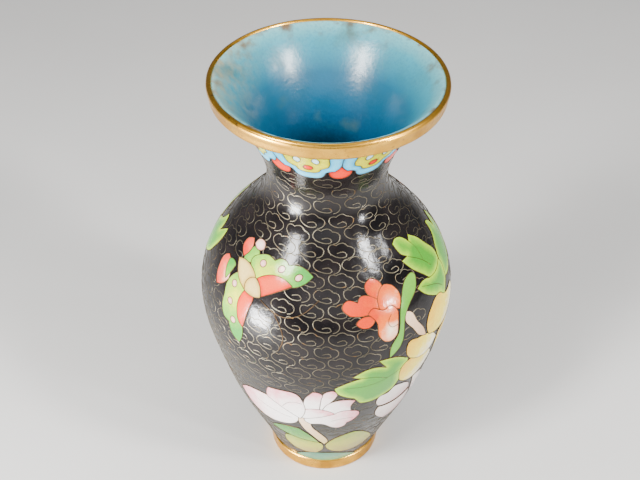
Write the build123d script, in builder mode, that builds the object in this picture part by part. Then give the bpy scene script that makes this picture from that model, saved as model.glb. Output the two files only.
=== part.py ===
"""Cloisonne vase: copper shells, brass rim and foot ring, black ground and coloured enamel cells.

Millimetres, +Z up, origin at the centre of the face that the foot ring stands on.
A place on the outside is given by a turn about Z, in degrees from the front, and a rise, which is
the length along the outer profile from the foot ring. Cell outlines are drawn flat, about the
middle of their motif: x to the right and y up, measured along the surface.
"""
from build123d import *
from math import cos, degrees, hypot, radians, sin
import os

# Wall, from the outside in
ENAMEL = 1.0
COPPER = 1.0
LINING = 0.5
COPPER_FACE = ENAMEL
LINING_FACE = ENAMEL + COPPER
WALL = ENAMEL + COPPER + LINING

# Heights
HEIGHT = 160.0
FOOT_TOP = 5.0
NECK_SEAM = 118.0
BELLY_SEAM = 80.0
LAP = 3.0
COPPER_TOP = 158.7
LINING_TOP = 159.3
RIM_BOTTOM = 154.4

# Radii
FOOT_OUTER = 20.3
FOOT_INNER = 17.0
RIM_OUTER = 37.8
RIM_INNER = 36.1
REACH = 50.0

# Base
PLATE = 1.0
LINING_FLOOR = 0.6
BASE_ENAMEL = 0.6

# Reach of the cutters that cut the cells, each way from the skin
CUT_DEPTH = 8.0

# Largest volume of a sliver between cells that the enamel does not fill, in cubic mm
SLIVER = 0.12

# Half section of the outside, from the foot ring to inside the rim, as radius and height
PROFILE = [
    (18.5, 2), (19.8, 5), (24.4, 16), (32.6, 35), (39.7, 57.5), (43.4, 80), (38.9, 96), (29.2, 108.8),
    (21.4, 118.4), (19.8, 126.4), (21.8, 134.4), (25.3, 142.4), (30.3, 150.4), (35.2, 156),
    (37.9, 158.2),
]
STATIONS = 30
BELOW_FOOT_TOP = hypot(1.3, 3)
LAPPETS = 8
LAPPET_TURN = -13.4
BORDER_RISE = 150
HALVES = 2

outer = Spline(*[(radius, 0, height) for radius, height in PROFILE])


def layer(depth):
    """Points of the wall's section at one depth below the outer face."""
    points = []
    for step in range(STATIONS + 1):
        place = outer.position_at(step / STATIONS)
        run = outer.tangent_at(step / STATIONS)
        points.append((place.X - run.Z * depth, place.Z + run.X * depth))
    return points


def inside(depth, low, high):
    """Half section of all that lies inside one layer of the wall, between two heights."""
    curve = layer(depth)
    with BuildSketch(Plane.XZ) as half:
        with BuildLine():
            Spline(*curve)
            Polyline(curve[-1], (0, curve[-1][1]), (0, curve[0][1]), curve[0])
        make_face()
        with Locations((0, low)):
            Rectangle(REACH, high - low, align=(Align.MIN, Align.MIN), mode=Mode.INTERSECT)
    return half.sketch_local


def surface_plane(turn, rise):
    """Plane that touches the outside at a turn and a rise, its z axis pointing out."""
    along = (rise + BELOW_FOOT_TOP) / outer.length
    place = outer.position_at(along)
    run = outer.tangent_at(along)
    side = (sin(radians(turn)), -cos(radians(turn)))
    origin = (place.X * side[0], place.X * side[1], place.Z)
    outward = (run.Z * side[0], run.Z * side[1], -run.X)
    return Plane(origin, x_dir=(-side[1], side[0], 0), z_dir=outward)


def on_surface(motif, x, y):
    """Turn and rise of a point drawn at (x, y) in a motif."""
    turn, rise = motif
    radius = outer.position_at((rise + y + BELOW_FOOT_TOP) / outer.length).X
    return turn + degrees(x / radius), rise + y


def prism(motif, outline):
    """Prism through the wall from a closed outline."""
    points = [point for stroke in outline for point in stroke]
    middle_x = sum(x for x, y in points) / len(points)
    middle_y = sum(y for x, y in points) / len(points)
    plane = surface_plane(*on_surface(motif, middle_x, middle_y))

    def flat(point):
        touched = surface_plane(*on_surface(motif, *point)).origin
        local = plane.to_local_coords(touched)
        return (local.X, local.Y)

    start = flat(outline[0][0])
    pen = start
    with BuildSketch() as face:
        with BuildLine():
            for number, stroke in enumerate(outline):
                path = [flat(point) for point in stroke]
                if number > 0:
                    path.insert(0, pen)
                if number == len(outline) - 1:
                    path.append(start)
                pen = path[-1]
                if len(path) == 2:
                    Line(*path)
                elif len(path) == 3:
                    ThreePointArc(*path)
                else:
                    Spline(*path)
        make_face()
    with BuildPart() as cutter:
        with BuildSketch(plane):
            add(face.sketch_local)
        extrude(amount=CUT_DEPTH, both=True)
    return cutter.part


def round_prism(motif, spot):
    """Round prism through the wall, for a spot given by its centre and radius."""
    x, y, radius = spot
    with BuildPart() as cutter:
        with BuildSketch(surface_plane(*on_surface(motif, x, y))):
            Circle(radius)
        extrude(amount=CUT_DEPTH, both=True)
    return cutter.part


def cut_through(motif, outline):
    """Prism of a cell, drawn either as strokes or as a round spot."""
    if isinstance(outline, tuple):
        return round_prism(motif, outline)
    return prism(motif, outline)


# Border under the rim, drawn about the middle of one lappet
LAPPET_CELLS = [
    ("lappet_dot_enamel", (0, 1.0, 1.5)),
    ("lappet_pearl_enamel", [[(-2.9, 3.8), (-1.7, 6.0), (-2.9, 8.2)], [(-4.1, 6.0)]]),
    ("lappet_pearl_enamel", [[(2.9, 3.8), (4.1, 6.0), (2.9, 8.2)], [(1.7, 6.0)]]),
    ("lappet_yellow_enamel", [
        [(-8.4, 13.6), (-7.2, 7.0), (-7.0, 4.0), (-6.2, 1.6)], [(-5.0, 0.9), (-3.9, 0.3)],
        [(-3.0, -1.4), (0, -2.1), (3.0, -1.4), (3.9, 0.3)], [(5.0, 0.9), (6.2, 1.6)],
        [(7.0, 4.0), (7.2, 7.0), (8.4, 13.6)],
    ]),
    ("lappet_blue_enamel", [
        [(-12.9, 13.6), (-11.2, 6.0), (-9.9, 1.4), (-7.8, -1.2)], [(-6.2, -1.3), (-5.1, -2.0)],
        [(-3.9, -4.3), (0, -5.3), (3.9, -4.3), (5.1, -2.0)], [(6.2, -1.3), (7.8, -1.2)],
        [(9.9, 1.4), (11.2, 6.0), (12.9, 13.6)],
    ]),
]

# Red fan in the gap between two lappets, drawn about the middle of the gap
FAN_CELLS = [
    ("lappet_red_enamel", [
        [(-3.0, 0.8), (-3.6, -1.4), (-3.3, -3.4)], [(0, -5.5), (3.3, -3.4)],
        [(3.6, -1.4), (3.0, 0.8)], [(0, 1.6)],
    ]),
]

# Butterfly on the left of the shoulder, front cells first
BUTTERFLY = (-40, 92)
BUTTERFLY_CELLS = [
    ("butterfly_spot_enamel", (0.5, 15.6, 1.2)),
    ("butterfly_spot_enamel", (7.3, 16.2, 1.2)),
    ("butterfly_spot_enamel", (13.8, 14.9, 1.2)),
    ("butterfly_spot_enamel", (-7.2, 4.6, 1.2)),
    ("butterfly_spot_enamel", (-7.0, -1.6, 1.2)),
    ("butterfly_spot_enamel", (-4.2, -7.2, 1.2)),
    ("butterfly_body_enamel", [
        [(-9.7, 12.5), (-5.1, 13.4), (0.2, 10.3)], [(-2.9, 7.6), (-2.3, 4.8)],
        [(-6.5, 7.3), (-8.7, 10.5)],
    ]),
    ("butterfly_body_enamel", [
        [(0.2, 10.3), (2.8, 8.3), (4.2, 5.0)], [(1.0, 4.2), (-2.3, 4.8)], [(-2.9, 7.6)],
    ]),
    ("butterfly_patch_enamel", [
        [(0.6, 10.4), (3.1, 12.5), (6.7, 13.7), (9.5, 13.4), (13.1, 11.8)],
        [(9.5, 9.1), (4.4, 5.4)], [(2.8, 8.3)],
    ]),
    ("butterfly_patch_enamel", [
        [(-2.4, 4.6), (-3.6, 0.9), (-3.3, -2.7), (-1.5, -6.4), (0.4, -7.7)],
        [(0.8, -4.5), (1.5, 0.5), (1.7, 4.3)],
    ]),
    ("butterfly_wing_enamel", [
        [(-3.0, 12.2), (-4.2, 15.0), (-1.5, 17.9), (1.3, 18.8), (4.0, 18.0)],
        [(6.3, 19.4), (8.8, 18.1)], [(12.2, 18.6), (15.4, 17.6), (18.1, 15.9)],
        [(16.3, 13.0), (13.0, 11.4)], [(6.0, 8.0), (0.4, 9.6)],
    ]),
    ("butterfly_wing_enamel", [
        [(-7.4, 8.6), (-9.8, 5.6), (-10.8, 2.4), (-10.4, -1.0)],
        [(-10.4, -5.2), (-8.6, -8.2), (-6.0, -8.9)], [(-4.6, -12.0), (-0.8, -14.5)],
        [(0.5, -11.2), (0.3, -7.6)], [(-0.6, -2.0), (-2.2, 5.0)],
    ]),
    ("butterfly_plume_enamel", [
        [(-8.0, 13.9), (-10.3, 16.5), (-9.7, 19.3), (-7.2, 20.8)], [(-6.2, 18.8), (-6.6, 16.0)],
    ]),
    ("butterfly_spot_enamel", [
        [(-5.9, 19.7), (-4.8, 21.8), (-2.4, 21.8), (-1.5, 19.7)], [(-3.6, 18.5)],
    ]),
    ("butterfly_wing_enamel", [
        [(-9.6, 9.8), (-11.8, 10.6), (-13.7, 9.6)], [(-13.5, 6.0), (-12.2, 3.6)], [(-10.8, 6.4)],
    ]),
    ("butterfly_wing_enamel", [
        [(-7.6, 13.4), (-6.8, 17.0), (-5.0, 19.2)], [(-2.6, 18.2), (-2.8, 14.8)], [(-4.4, 13.6)],
    ]),
    ("butterfly_plume_enamel", [
        [(-14.8, 10.6), (-17.2, 8.6), (-17.9, 5.2)], [(-17.6, 2.0), (-16.2, -0.6)],
        [(-12.6, 1.6), (-10.6, 4.4)], [(-11.6, 8.2)],
    ]),
]

# Orange flower, its leaf and stem, on the right of the shoulder
FLOWER = (40, 92)
FLOWER_CELLS = [
    ("flower_petal_enamel", [
        [(-14.2, 2.6), (-11.9, -1.4), (-12.2, -5.4), (-10.4, -8.4)],
        [(-8.2, -8.9), (-5.8, -7.4), (-4.8, -4.6)], [(-4.2, -1.8), (-3.7, 0.2)],
        [(-4.4, 2.2), (-6.2, 3.3), (-8.6, 2.7), (-11.6, 4.2)],
    ]),
    ("flower_petal_enamel", [
        [(-9.6, 6.6), (-8.0, 9.2), (-5.4, 10.6), (-3.0, 9.4)],
        [(-1.5, 6.4), (-1.9, 3.2), (-3.0, 1.0)], [(-5.6, 2.0), (-9.4, 2.4)],
    ]),
    ("flower_petal_enamel", [
        [(-20.0, 3.0), (-21.6, 5.6), (-18.8, 8.2), (-16.2, 7.0)],
        [(-14.4, 8.9), (-12.0, 8.6), (-9.2, 6.4)], [(-8.8, 3.4)], [(-15.0, 2.4)],
    ]),
    ("flower_petal_enamel", [
        [(-10.0, 6.9), (-12.2, 9.6), (-11.6, 12.4), (-9.4, 13.8)], [(-7.2, 12.6), (-6.4, 9.6)],
        [(-8.0, 7.4)],
    ]),
    ("flower_petal_enamel", [[(-18.8, 0.0), (-16.0, 2.0), (-12.2, 1.0)], [(-14.8, -1.9)]]),
    ("flower_leaf_enamel", [
        [(-8.7, -16.2), (-6.0, -14.2), (-3.9, -11.4), (-2.9, -8.0), (-1.5, -2.5), (2.0, 1.5),
         (6.0, 5.0), (7.1, 8.0)],
        [(6.4, 9.4), (4.0, 9.6), (0.5, 7.0), (-1.6, 3.2), (-3.3, -1.0), (-4.2, -5.0),
         (-5.2, -7.6), (-8.0, -11.0)],
    ]),
    ("flower_stem_enamel", [
        [(-0.9, -0.9), (-1.7, -4.2), (0.5, -7.8), (4.0, -13.0), (7.3, -14.8)],
        [(5.5, -10.0), (3.0, -6.0), (1.2, -2.0)],
    ]),
]

# Yellow and white peony and its leaves, on the right of the belly
PEONY_CELLS = [
    ("peony_petal_enamel", [
        [(9.0, -15.8), (7.7, -12.4), (8.6, -8.4), (12.6, -4.9)], [(16.4, -4.2), (19.6, -6.4)],
        [(24.0, -8.0), (29.0, -8.2), (31.8, -12.0)], [(30.0, -16.4), (25.0, -18.0)],
        [(17.0, -18.6)],
    ]),
    ("peony_petal_enamel", [
        [(0.2, -21.2), (-1.8, -17.2), (-0.8, -13.0), (3.0, -13.6)],
        [(7.6, -14.6), (12.0, -17.4), (15.2, -21.6)], [(12.4, -25.2), (7.0, -25.4)],
    ]),
    ("peony_petal_enamel", [
        [(-1.4, -33.0), (-2.8, -28.0), (-1.8, -23.0), (1.6, -21.8)],
        [(6.8, -23.6), (12.6, -26.6), (15.0, -31.6)], [(11.0, -36.4), (4.0, -37.0)],
    ]),
    ("peony_petal_enamel", [
        [(16.4, -20.8), (21.6, -19.0), (27.0, -19.6), (30.4, -23.6)],
        [(29.0, -29.0), (24.0, -33.0), (17.6, -34.0)], [(16.4, -27.0)],
    ]),
    ("peony_leaf_enamel", [
        [(3.5, 20.8), (5.0, 21.8), (8.0, 21.0), (10.6, 18.0)], [(11.7, 19.8)],
        [(15.4, 16.6), (19.2, 11.9), (22.6, 7.0), (22.8, 4.6)], [(18.0, 3.0), (13.3, 3.7)],
        [(10.1, 6.9), (6.1, 11.2), (4.1, 14.5)], [(7.0, 14.8)],
        [(5.0, 16.4), (4.0, 18.6)],
    ]),
    ("peony_leaf_enamel", [
        [(6.2, 3.6), (9.8, 4.6), (13.4, 3.4)], [(18.6, 4.6), (22.6, 4.2), (24.6, -3.0)],
        [(21.4, -7.4)], [(17.6, -5.4), (13.0, -2.8), (8.6, 0.6)],
    ]),
    ("peony_leaf_enamel", [
        [(24.2, -3.0), (23.2, 4.0), (24.8, 8.4), (27.0, 10.8), (26.8, 14.6)],
        [(30.4, 13.0), (33.0, 9.6)], [(34.4, 14.0)], [(38.6, 9.0), (39.4, 2.0)], [(32.0, -3.6)],
    ]),
    ("peony_leaf_enamel", [
        [(-0.6, -20.6), (-4.0, -18.0), (-8.0, -16.4), (-12.6, -16.0)], [(-9.4, -20.4)],
        [(-13.0, -18.8), (-17.2, -19.0), (-21.2, -21.6)], [(-18.0, -22.9)],
        [(-22.2, -24.2), (-26.4, -27.2)], [(-25.0, -30.2), (-22.2, -32.8), (-18.2, -35.0)],
        [(-15.4, -39.0)], [(-11.4, -39.8), (-7.6, -38.6), (-3.6, -36.4)], [(-1.4, -30.0)],
    ]),
]

# Magnolia low on the front, and the leaves and the bank at the foot
MAGNOLIA = (0, 40)
MAGNOLIA_CELLS = [
    ("magnolia_petal_enamel", [
        [(-8.7, 2.0), (-14.8, 7.2), (-20.6, 11.8)], [(-21.0, 16.0), (-20.2, 19.0)],
        [(-15.9, 19.7), (-10.3, 19.6), (-7.6, 14.0)], [(-7.0, 8.0)],
    ]),
    ("magnolia_petal_enamel", [
        [(-33.4, 6.4), (-30.0, 10.4), (-25.6, 12.2), (-19.6, 12.6)], [(-14.6, 8.6), (-9.7, 3.8)],
        [(-10.2, -1.8), (-13.2, -4.8)], [(-20.2, -7.0), (-27.6, -4.2)],
    ]),
    ("magnolia_petal_enamel", [
        [(3.2, 7.1), (6.4, 9.0), (9.4, 8.2)], [(11.7, 6.4), (11.2, 3.6)], [(9.6, 1.0), (7.4, -0.6)],
        [(5.8, -3.6), (4.2, -4.2)], [(2.0, -3.2), (-0.4, -1.0), (-4.8, -1.2)],
        [(-6.8, 0.4), (-7.4, 2.6)], [(-1.6, 4.8)],
    ]),
    ("magnolia_petal_enamel", [
        [(-9.0, 2.8), (-9.2, 6.6), (-7.4, 9.6)], [(-2.4, 10.6), (3.2, 7.1)], [(-1.6, 4.2)],
    ]),
    ("magnolia_petal_enamel", [
        [(-1.2, 9.4), (0.8, 14.4), (5.4, 16.8), (10.4, 15.4)], [(8.9, 12.8), (8.8, 9.0)],
        [(6.0, 7.6), (3.2, 6.9)], [(0.8, 8.2)],
    ]),
    ("magnolia_petal_enamel", [
        [(-7.4, 8.0), (-7.6, 13.0), (-6.8, 18.0), (-4.4, 22.2)], [(-2.2, 22.0), (-1.4, 18.6)],
        [(-1.8, 14.0), (-2.2, 9.0)], [(-4.6, 7.8)],
    ]),
    ("magnolia_petal_enamel", [
        [(-2.4, 9.0), (-2.0, 14.0), (-1.5, 18.6)], [(0.2, 22.6), (2.4, 23.4), (4.0, 20.8)],
        [(2.8, 17.6), (1.4, 15.2), (0.4, 12.6), (0.2, 9.6)],
    ]),
    ("magnolia_stem_enamel", [
        [(-10.4, 4.2), (-9.0, -1.5), (-7.4, -6.4), (-4.9, -11.5), (-2.2, -17.4), (-0.2, -21.4)],
        [(0.9, -18.6), (-0.4, -12.4), (-2.6, -8.0), (-4.4, -4.4), (-5.2, 0.0), (-6.4, 3.4)],
    ]),
]
FOOT_LEAF_CELLS = [
    ("foot_green_enamel", [
        [(-20.4, -13.4), (-17.6, -9.8), (-13.0, -7.6), (-9.4, -7.2)], [(-6.0, -11.5), (-2.2, -19.6)],
        [(-8.4, -18.2), (-13.8, -16.6)],
    ]),
    ("foot_yellow_enamel", [
        [(-14.6, -18.0), (-15.2, -23.0), (-13.4, -28.4)], [(-9.6, -31.6), (-3.0, -31.4)],
        [(-0.6, -26.0), (-1.4, -20.4)], [(-8.0, -17.0)],
    ]),
    ("foot_yellow_enamel", [
        [(0.4, -21.4), (3.2, -15.8), (7.0, -12.2), (10.4, -10.8), (14.0, -13.6)],
        [(17.2, -20.0), (18.6, -27.0)], [(11.0, -31.6), (3.4, -30.0)], [(0.6, -26.0)],
    ]),
    ("bank_enamel", [[(-11.0, -38.8), (-8.6, -34.8), (-3.4, -31.6)], [(3.0, -31.8), (12.0, -38.8)]]),
]
PALE_FLOWER_CELLS = [
    ("pale_flower_enamel", [
        [(19.2, 6.0), (18.0, 10.0), (19.4, 13.6)], [(22.6, 13.8), (25.0, 16.2), (28.4, 15.0)],
        [(32.0, 12.0), (33.0, 6.0)], [(26.0, 4.6)],
    ]),
    ("pale_flower_enamel", [
        [(19.2, 5.2), (18.0, 1.6), (19.0, -2.8), (22.2, -8.0)],
        [(28.0, -7.8), (33.4, -3.4), (34.0, 4.6)], [(26.6, 3.4)],
    ]),
    ("pale_flower_enamel", [
        [(34.2, 14.0), (38.4, 13.0), (42.0, 9.0)], [(42.4, 1.0), (38.0, -4.6)],
        [(35.4, 0.0), (34.9, 5.2)],
    ]),
]

# Place and cells of each motif
FRONT_MOTIFS = [
    (BUTTERFLY, BUTTERFLY_CELLS),
    (FLOWER, FLOWER_CELLS),
    (FLOWER, PEONY_CELLS),
    (MAGNOLIA, MAGNOLIA_CELLS),
    (MAGNOLIA, FOOT_LEAF_CELLS),
    (MAGNOLIA, PALE_FLOWER_CELLS),
]

# Copper body, in three raised shells that lap half into each other, and its bottom plate
with BuildPart() as neck_shell:
    with BuildSketch(Plane.XZ):
        add(inside(COPPER_FACE, NECK_SEAM, COPPER_TOP))
        add(inside(COPPER_FACE + COPPER / 2, NECK_SEAM - LAP, NECK_SEAM))
        add(inside(LINING_FACE, NECK_SEAM - LAP, COPPER_TOP), mode=Mode.SUBTRACT)
    revolve(axis=Axis.Z)

with BuildPart() as shoulder_shell:
    with BuildSketch(Plane.XZ):
        add(inside(COPPER_FACE, BELLY_SEAM, NECK_SEAM))
        add(inside(COPPER_FACE + COPPER / 2, BELLY_SEAM - LAP, BELLY_SEAM))
        add(inside(LINING_FACE, BELLY_SEAM - LAP, NECK_SEAM - LAP), mode=Mode.SUBTRACT)
        add(inside(COPPER_FACE + COPPER / 2, NECK_SEAM - LAP, NECK_SEAM), mode=Mode.SUBTRACT)
    revolve(axis=Axis.Z)

with BuildPart() as lower_shell:
    with BuildSketch(Plane.XZ):
        add(inside(COPPER_FACE, FOOT_TOP, BELLY_SEAM))
        add(inside(LINING_FACE, FOOT_TOP, BELLY_SEAM - LAP), mode=Mode.SUBTRACT)
        add(inside(COPPER_FACE + COPPER / 2, BELLY_SEAM - LAP, BELLY_SEAM), mode=Mode.SUBTRACT)
    revolve(axis=Axis.Z)

with BuildPart() as base_plate:
    with BuildSketch(Plane.XZ):
        add(inside(LINING_FACE, FOOT_TOP, FOOT_TOP + PLATE))
    revolve(axis=Axis.Z)

# Brass ring that the vase stands on
with BuildPart() as foot_ring:
    with BuildSketch(Plane.XZ) as foot_section:
        with Locations(((FOOT_OUTER + FOOT_INNER) / 2, FOOT_TOP / 2)):
            Rectangle(FOOT_OUTER - FOOT_INNER, FOOT_TOP)
        fillet(foot_section.vertices().group_by(Axis.X)[-1], 0.7)
    revolve(axis=Axis.Z)

# Brass rim, folded over the edge of the neck: a flat band below a bead
with BuildPart() as mouth_rim:
    with BuildSketch(Plane.XZ):
        with BuildLine():
            Polyline((RIM_INNER - 8, RIM_BOTTOM), (RIM_OUTER - 0.7, RIM_BOTTOM),
                     (RIM_OUTER - 0.4, RIM_BOTTOM + 0.4))
            Line((RIM_OUTER - 0.4, RIM_BOTTOM + 0.4), (RIM_OUTER - 0.4, HEIGHT - 2.6))
            ThreePointArc(
                (RIM_OUTER - 0.4, HEIGHT - 2.6),
                (RIM_OUTER, HEIGHT - 1.3),
                (RIM_OUTER - 0.8, HEIGHT),
            )
            Line((RIM_OUTER - 0.8, HEIGHT), (RIM_INNER + 0.4, HEIGHT))
            ThreePointArc(
                (RIM_INNER + 0.4, HEIGHT),
                (RIM_INNER + 0.1, HEIGHT - 0.2),
                (RIM_INNER, HEIGHT - 0.5),
            )
            Polyline((RIM_INNER, HEIGHT - 0.5), (RIM_INNER - 8, HEIGHT - 0.5), (RIM_INNER - 8, RIM_BOTTOM))
        make_face()
        add(inside(COPPER_FACE, RIM_BOTTOM - 1, COPPER_TOP), mode=Mode.SUBTRACT)
        add(inside(LINING_FACE, RIM_BOTTOM - 1, LINING_TOP), mode=Mode.SUBTRACT)
        add(inside(WALL, RIM_BOTTOM - 1, HEIGHT), mode=Mode.SUBTRACT)
        with Locations((0, LINING_TOP)):
            Rectangle(RIM_INNER, HEIGHT - LINING_TOP, align=(Align.MIN, Align.MIN), mode=Mode.SUBTRACT)
    revolve(axis=Axis.Z)

# Turquoise enamel that lines the inside, floor included, and the underside of the plate
with BuildPart() as inner_enamel:
    with BuildSketch(Plane.XZ):
        add(inside(LINING_FACE, FOOT_TOP + PLATE, LINING_TOP))
        add(inside(WALL, FOOT_TOP + PLATE + LINING_FLOOR, LINING_TOP), mode=Mode.SUBTRACT)
    revolve(axis=Axis.Z)

with BuildPart() as base_enamel:
    with BuildSketch(Plane.XY.offset(FOOT_TOP - BASE_ENAMEL)):
        Circle(FOOT_INNER)
    extrude(amount=BASE_ENAMEL)

# Front half of the skin of outer enamel, from which the cells and the ground are cut.
# The back half is the front half turned half round.
with BuildPart() as half_skin:
    with BuildSketch(Plane.XZ):
        add(inside(0, FOOT_TOP, RIM_BOTTOM))
        add(inside(COPPER_FACE, FOOT_TOP, RIM_BOTTOM), mode=Mode.SUBTRACT)
    revolve(axis=Axis.Z, revolution_arc=180)
front_skin = half_skin.part.rotate(Axis.Z, 180)

pieces = {}


def keep(name, solid, copies):
    """Put a solid, and its copies turned evenly about the vase, into the named piece."""
    for number in range(copies):
        turned = solid.rotate(Axis.Z, 360 * number / copies)
        whole = [solid for solid in turned.solids() if solid.volume > SLIVER]
        pieces.setdefault(name, []).extend(whole)


def is_near(cutter, other):
    """Whether the boxes round two cutters meet."""
    box = cutter.bounding_box()
    other_box = other.bounding_box()
    low = Vector(*map(max, box.min, other_box.min))
    high = Vector(*map(min, box.max, other_box.max))
    return low.X < high.X and low.Y < high.Y and low.Z < high.Z


def lay_cells(motif, cells, copies, in_front):
    """Cut each cell from the skin, the cells in front covering those behind."""
    covered = list(in_front)
    for name, outline in cells:
        cutter = cut_through(motif, outline)
        near = [other for other in covered if is_near(cutter, other)]
        with BuildPart() as filling:
            add(cutter)
            add(front_skin, mode=Mode.INTERSECT)
            if near:
                add(near, mode=Mode.SUBTRACT)
        covered.append(cutter)
        keep(name, filling.part, copies)
    return covered


silhouettes = []
for motif_place, motif_cells in FRONT_MOTIFS:
    silhouettes = lay_cells(motif_place, motif_cells, HALVES, silhouettes)

lappet = lay_cells((LAPPET_TURN, BORDER_RISE), LAPPET_CELLS, LAPPETS, [])[-1]
next_lappet = lappet.rotate(Axis.Z, 360 / LAPPETS)
gap_turn = LAPPET_TURN + 180 / LAPPETS
fan = lay_cells((gap_turn, BORDER_RISE), FAN_CELLS, LAPPETS, [lappet, next_lappet])[-1]
for number in range(LAPPETS):
    silhouettes.append(lappet.rotate(Axis.Z, 360 * number / LAPPETS))
    silhouettes.append(fan.rotate(Axis.Z, 360 * number / LAPPETS))

# Black ground: what the cells leave of the skin
with BuildPart() as front_ground:
    add(front_skin)
    add(silhouettes, mode=Mode.SUBTRACT)
with BuildPart() as whole_ground:
    add(front_ground.part)
    add(front_ground.part.rotate(Axis.Z, 180))
keep("ground_enamel", whole_ground.part, 1)

os.makedirs("parts", exist_ok=True)

neck_shell.part.label = "neck_shell"
export_step(neck_shell.part, "parts/neck_shell.step")
shoulder_shell.part.label = "shoulder_shell"
export_step(shoulder_shell.part, "parts/shoulder_shell.step")
lower_shell.part.label = "lower_shell"
export_step(lower_shell.part, "parts/lower_shell.step")
base_plate.part.label = "base_plate"
export_step(base_plate.part, "parts/base_plate.step")
foot_ring.part.label = "foot_ring"
export_step(foot_ring.part, "parts/foot_ring.step")
mouth_rim.part.label = "mouth_rim"
export_step(mouth_rim.part, "parts/mouth_rim.step")
inner_enamel.part.label = "inner_enamel"
export_step(inner_enamel.part, "parts/inner_enamel.step")
base_enamel.part.label = "base_enamel"
export_step(base_enamel.part, "parts/base_enamel.step")
for name, solids in pieces.items():
    group = Compound(solids)
    group.label = name
    export_step(group, f"parts/{name}.step")
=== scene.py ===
"""Cloisonne vase dressed for show: enamel, wires, brass rim and foot, on a plain pale floor."""
import logging
import math
import random
from dataclasses import dataclass, field
from enum import Enum

import bmesh
import bpy
import numpy as np
from mathutils import Matrix, Vector, geometry, kdtree, noise


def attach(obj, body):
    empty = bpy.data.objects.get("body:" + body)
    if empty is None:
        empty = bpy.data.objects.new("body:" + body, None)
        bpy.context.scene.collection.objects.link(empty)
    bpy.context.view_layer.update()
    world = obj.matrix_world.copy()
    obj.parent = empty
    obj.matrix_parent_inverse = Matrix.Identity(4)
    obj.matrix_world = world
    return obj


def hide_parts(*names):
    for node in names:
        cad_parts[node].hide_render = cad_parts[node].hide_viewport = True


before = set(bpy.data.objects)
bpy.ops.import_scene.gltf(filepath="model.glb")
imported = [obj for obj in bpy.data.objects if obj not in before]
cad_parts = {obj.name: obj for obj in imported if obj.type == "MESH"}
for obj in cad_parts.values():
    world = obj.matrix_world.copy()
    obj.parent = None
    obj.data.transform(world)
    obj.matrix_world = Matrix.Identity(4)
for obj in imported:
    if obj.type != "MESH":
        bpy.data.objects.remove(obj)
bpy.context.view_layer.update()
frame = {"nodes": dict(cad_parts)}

LOG = logging.getLogger("vase")
MM = 0.001
BODY = "root"

# Half section of the outside, radius and height in millimetres, from below the foot ring's top
PROFILE = [
    (18.5, 2), (19.8, 5), (24.4, 16), (32.6, 35), (39.7, 57.5), (43.4, 80), (38.9, 96),
    (29.2, 108.8), (21.4, 118.4), (19.8, 126.4), (21.8, 134.4), (25.3, 142.4), (30.3, 150.4),
    (35.2, 156), (37.9, 158.2),
]
BELOW_FOOT_TOP = math.hypot(1.3, 3)

# Sections of the foot ring and of the mouth's rim, radius and height in millimetres
FOOT = [
    (17.0, 0.5), (17.4, 0.0), (19.4, 0.0), (19.9, 0.15), (20.2, 0.5), (20.3, 1.2), (20.15, 2.4),
    (20.1, 3.4), (20.2, 4.2), (20.1, 4.7), (19.7, 5.0), (17.3, 5.0), (17.0, 4.6),
]
RIM = [
    (33.4, 154.42), (36.4, 154.42), (36.85, 154.55), (37.1, 154.85), (37.22, 155.3), (37.32, 156.0),
    (37.4, 156.7), (37.48, 157.2), (37.62, 157.7), (37.75, 158.2), (37.8, 158.7), (37.74, 159.15),
    (37.55, 159.55), (37.25, 159.82), (36.9, 159.95), (36.55, 159.93), (36.25, 159.75), (36.08, 159.4),
    (35.9, 159.0), (35.3, 158.2),
]

# Enamel in a cell, in millimetres: height at its edge, more at its middle, and how far in that is
CELL_LIFT = 0.06
CELL_CROWN = 0.05
CELL_SHOULDER = 1.6
WIRE_RADIUS = 0.16

# How finely things are sampled, in millimetres
PROFILE_STEP = 0.25
OUTLINE_STEP = 0.4
CELL_GRID = 0.9

Point = tuple[float, float]
Stroke = list[Point]
Outline = list[Stroke] | tuple[float, float, float]


def srgb(code: str) -> tuple[float, float, float, float]:
    """Linear colour of an sRGB hex code.

    Args:
        code: six hex digits, with or without a leading hash.

    Returns:
        Red, green, blue and an alpha of 1, linear.
    """
    digits = code.lstrip("#")
    values = [int(digits[i:i + 2], 16) / 255 for i in (0, 2, 4)]
    linear = [v / 12.92 if v <= 0.04045 else ((v + 0.055) / 1.055) ** 2.4 for v in values]
    return (*linear, 1.0)


def per_mm(size: float) -> float:
    """Texture scale that gives features of a size in millimetres.

    Args:
        size: feature size in millimetres.

    Returns:
        Scale for a texture that reads coordinates in metres.
    """
    return 1 / (size * MM)


def spline(points: Stroke, step: float) -> np.ndarray:
    """Natural cubic spline through points, sampled evenly.

    Args:
        points: the points that the curve goes through.
        step: distance between samples, in the points' unit.

    Returns:
        Array of samples, both ends included.
    """
    knots = np.array(points, float)
    lengths = np.hypot(*np.diff(knots, axis=0).T)
    at = np.concatenate(([0.0], np.cumsum(lengths)))
    count = len(knots)
    matrix = np.eye(count)
    right = np.zeros((count, 2))
    for i in range(1, count - 1):
        before, after = lengths[i - 1], lengths[i]
        matrix[i, i - 1:i + 2] = (before, 2 * (before + after), after)
        right[i] = 6 * ((knots[i + 1] - knots[i]) / after - (knots[i] - knots[i - 1]) / before)
    bend = np.linalg.solve(matrix, right)
    places = np.linspace(0, at[-1], max(2, round(at[-1] / step) + 1))
    span = np.clip(np.searchsorted(at, places, "right") - 1, 0, count - 2)
    width = lengths[span][:, None]
    left = (places - at[span])[:, None]
    rest = width - left
    return (
        (bend[span] * rest ** 3 + bend[span + 1] * left ** 3) / (6 * width)
        + (knots[span] / width - bend[span] * width / 6) * rest
        + (knots[span + 1] / width - bend[span + 1] * width / 6) * left
    )


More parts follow.
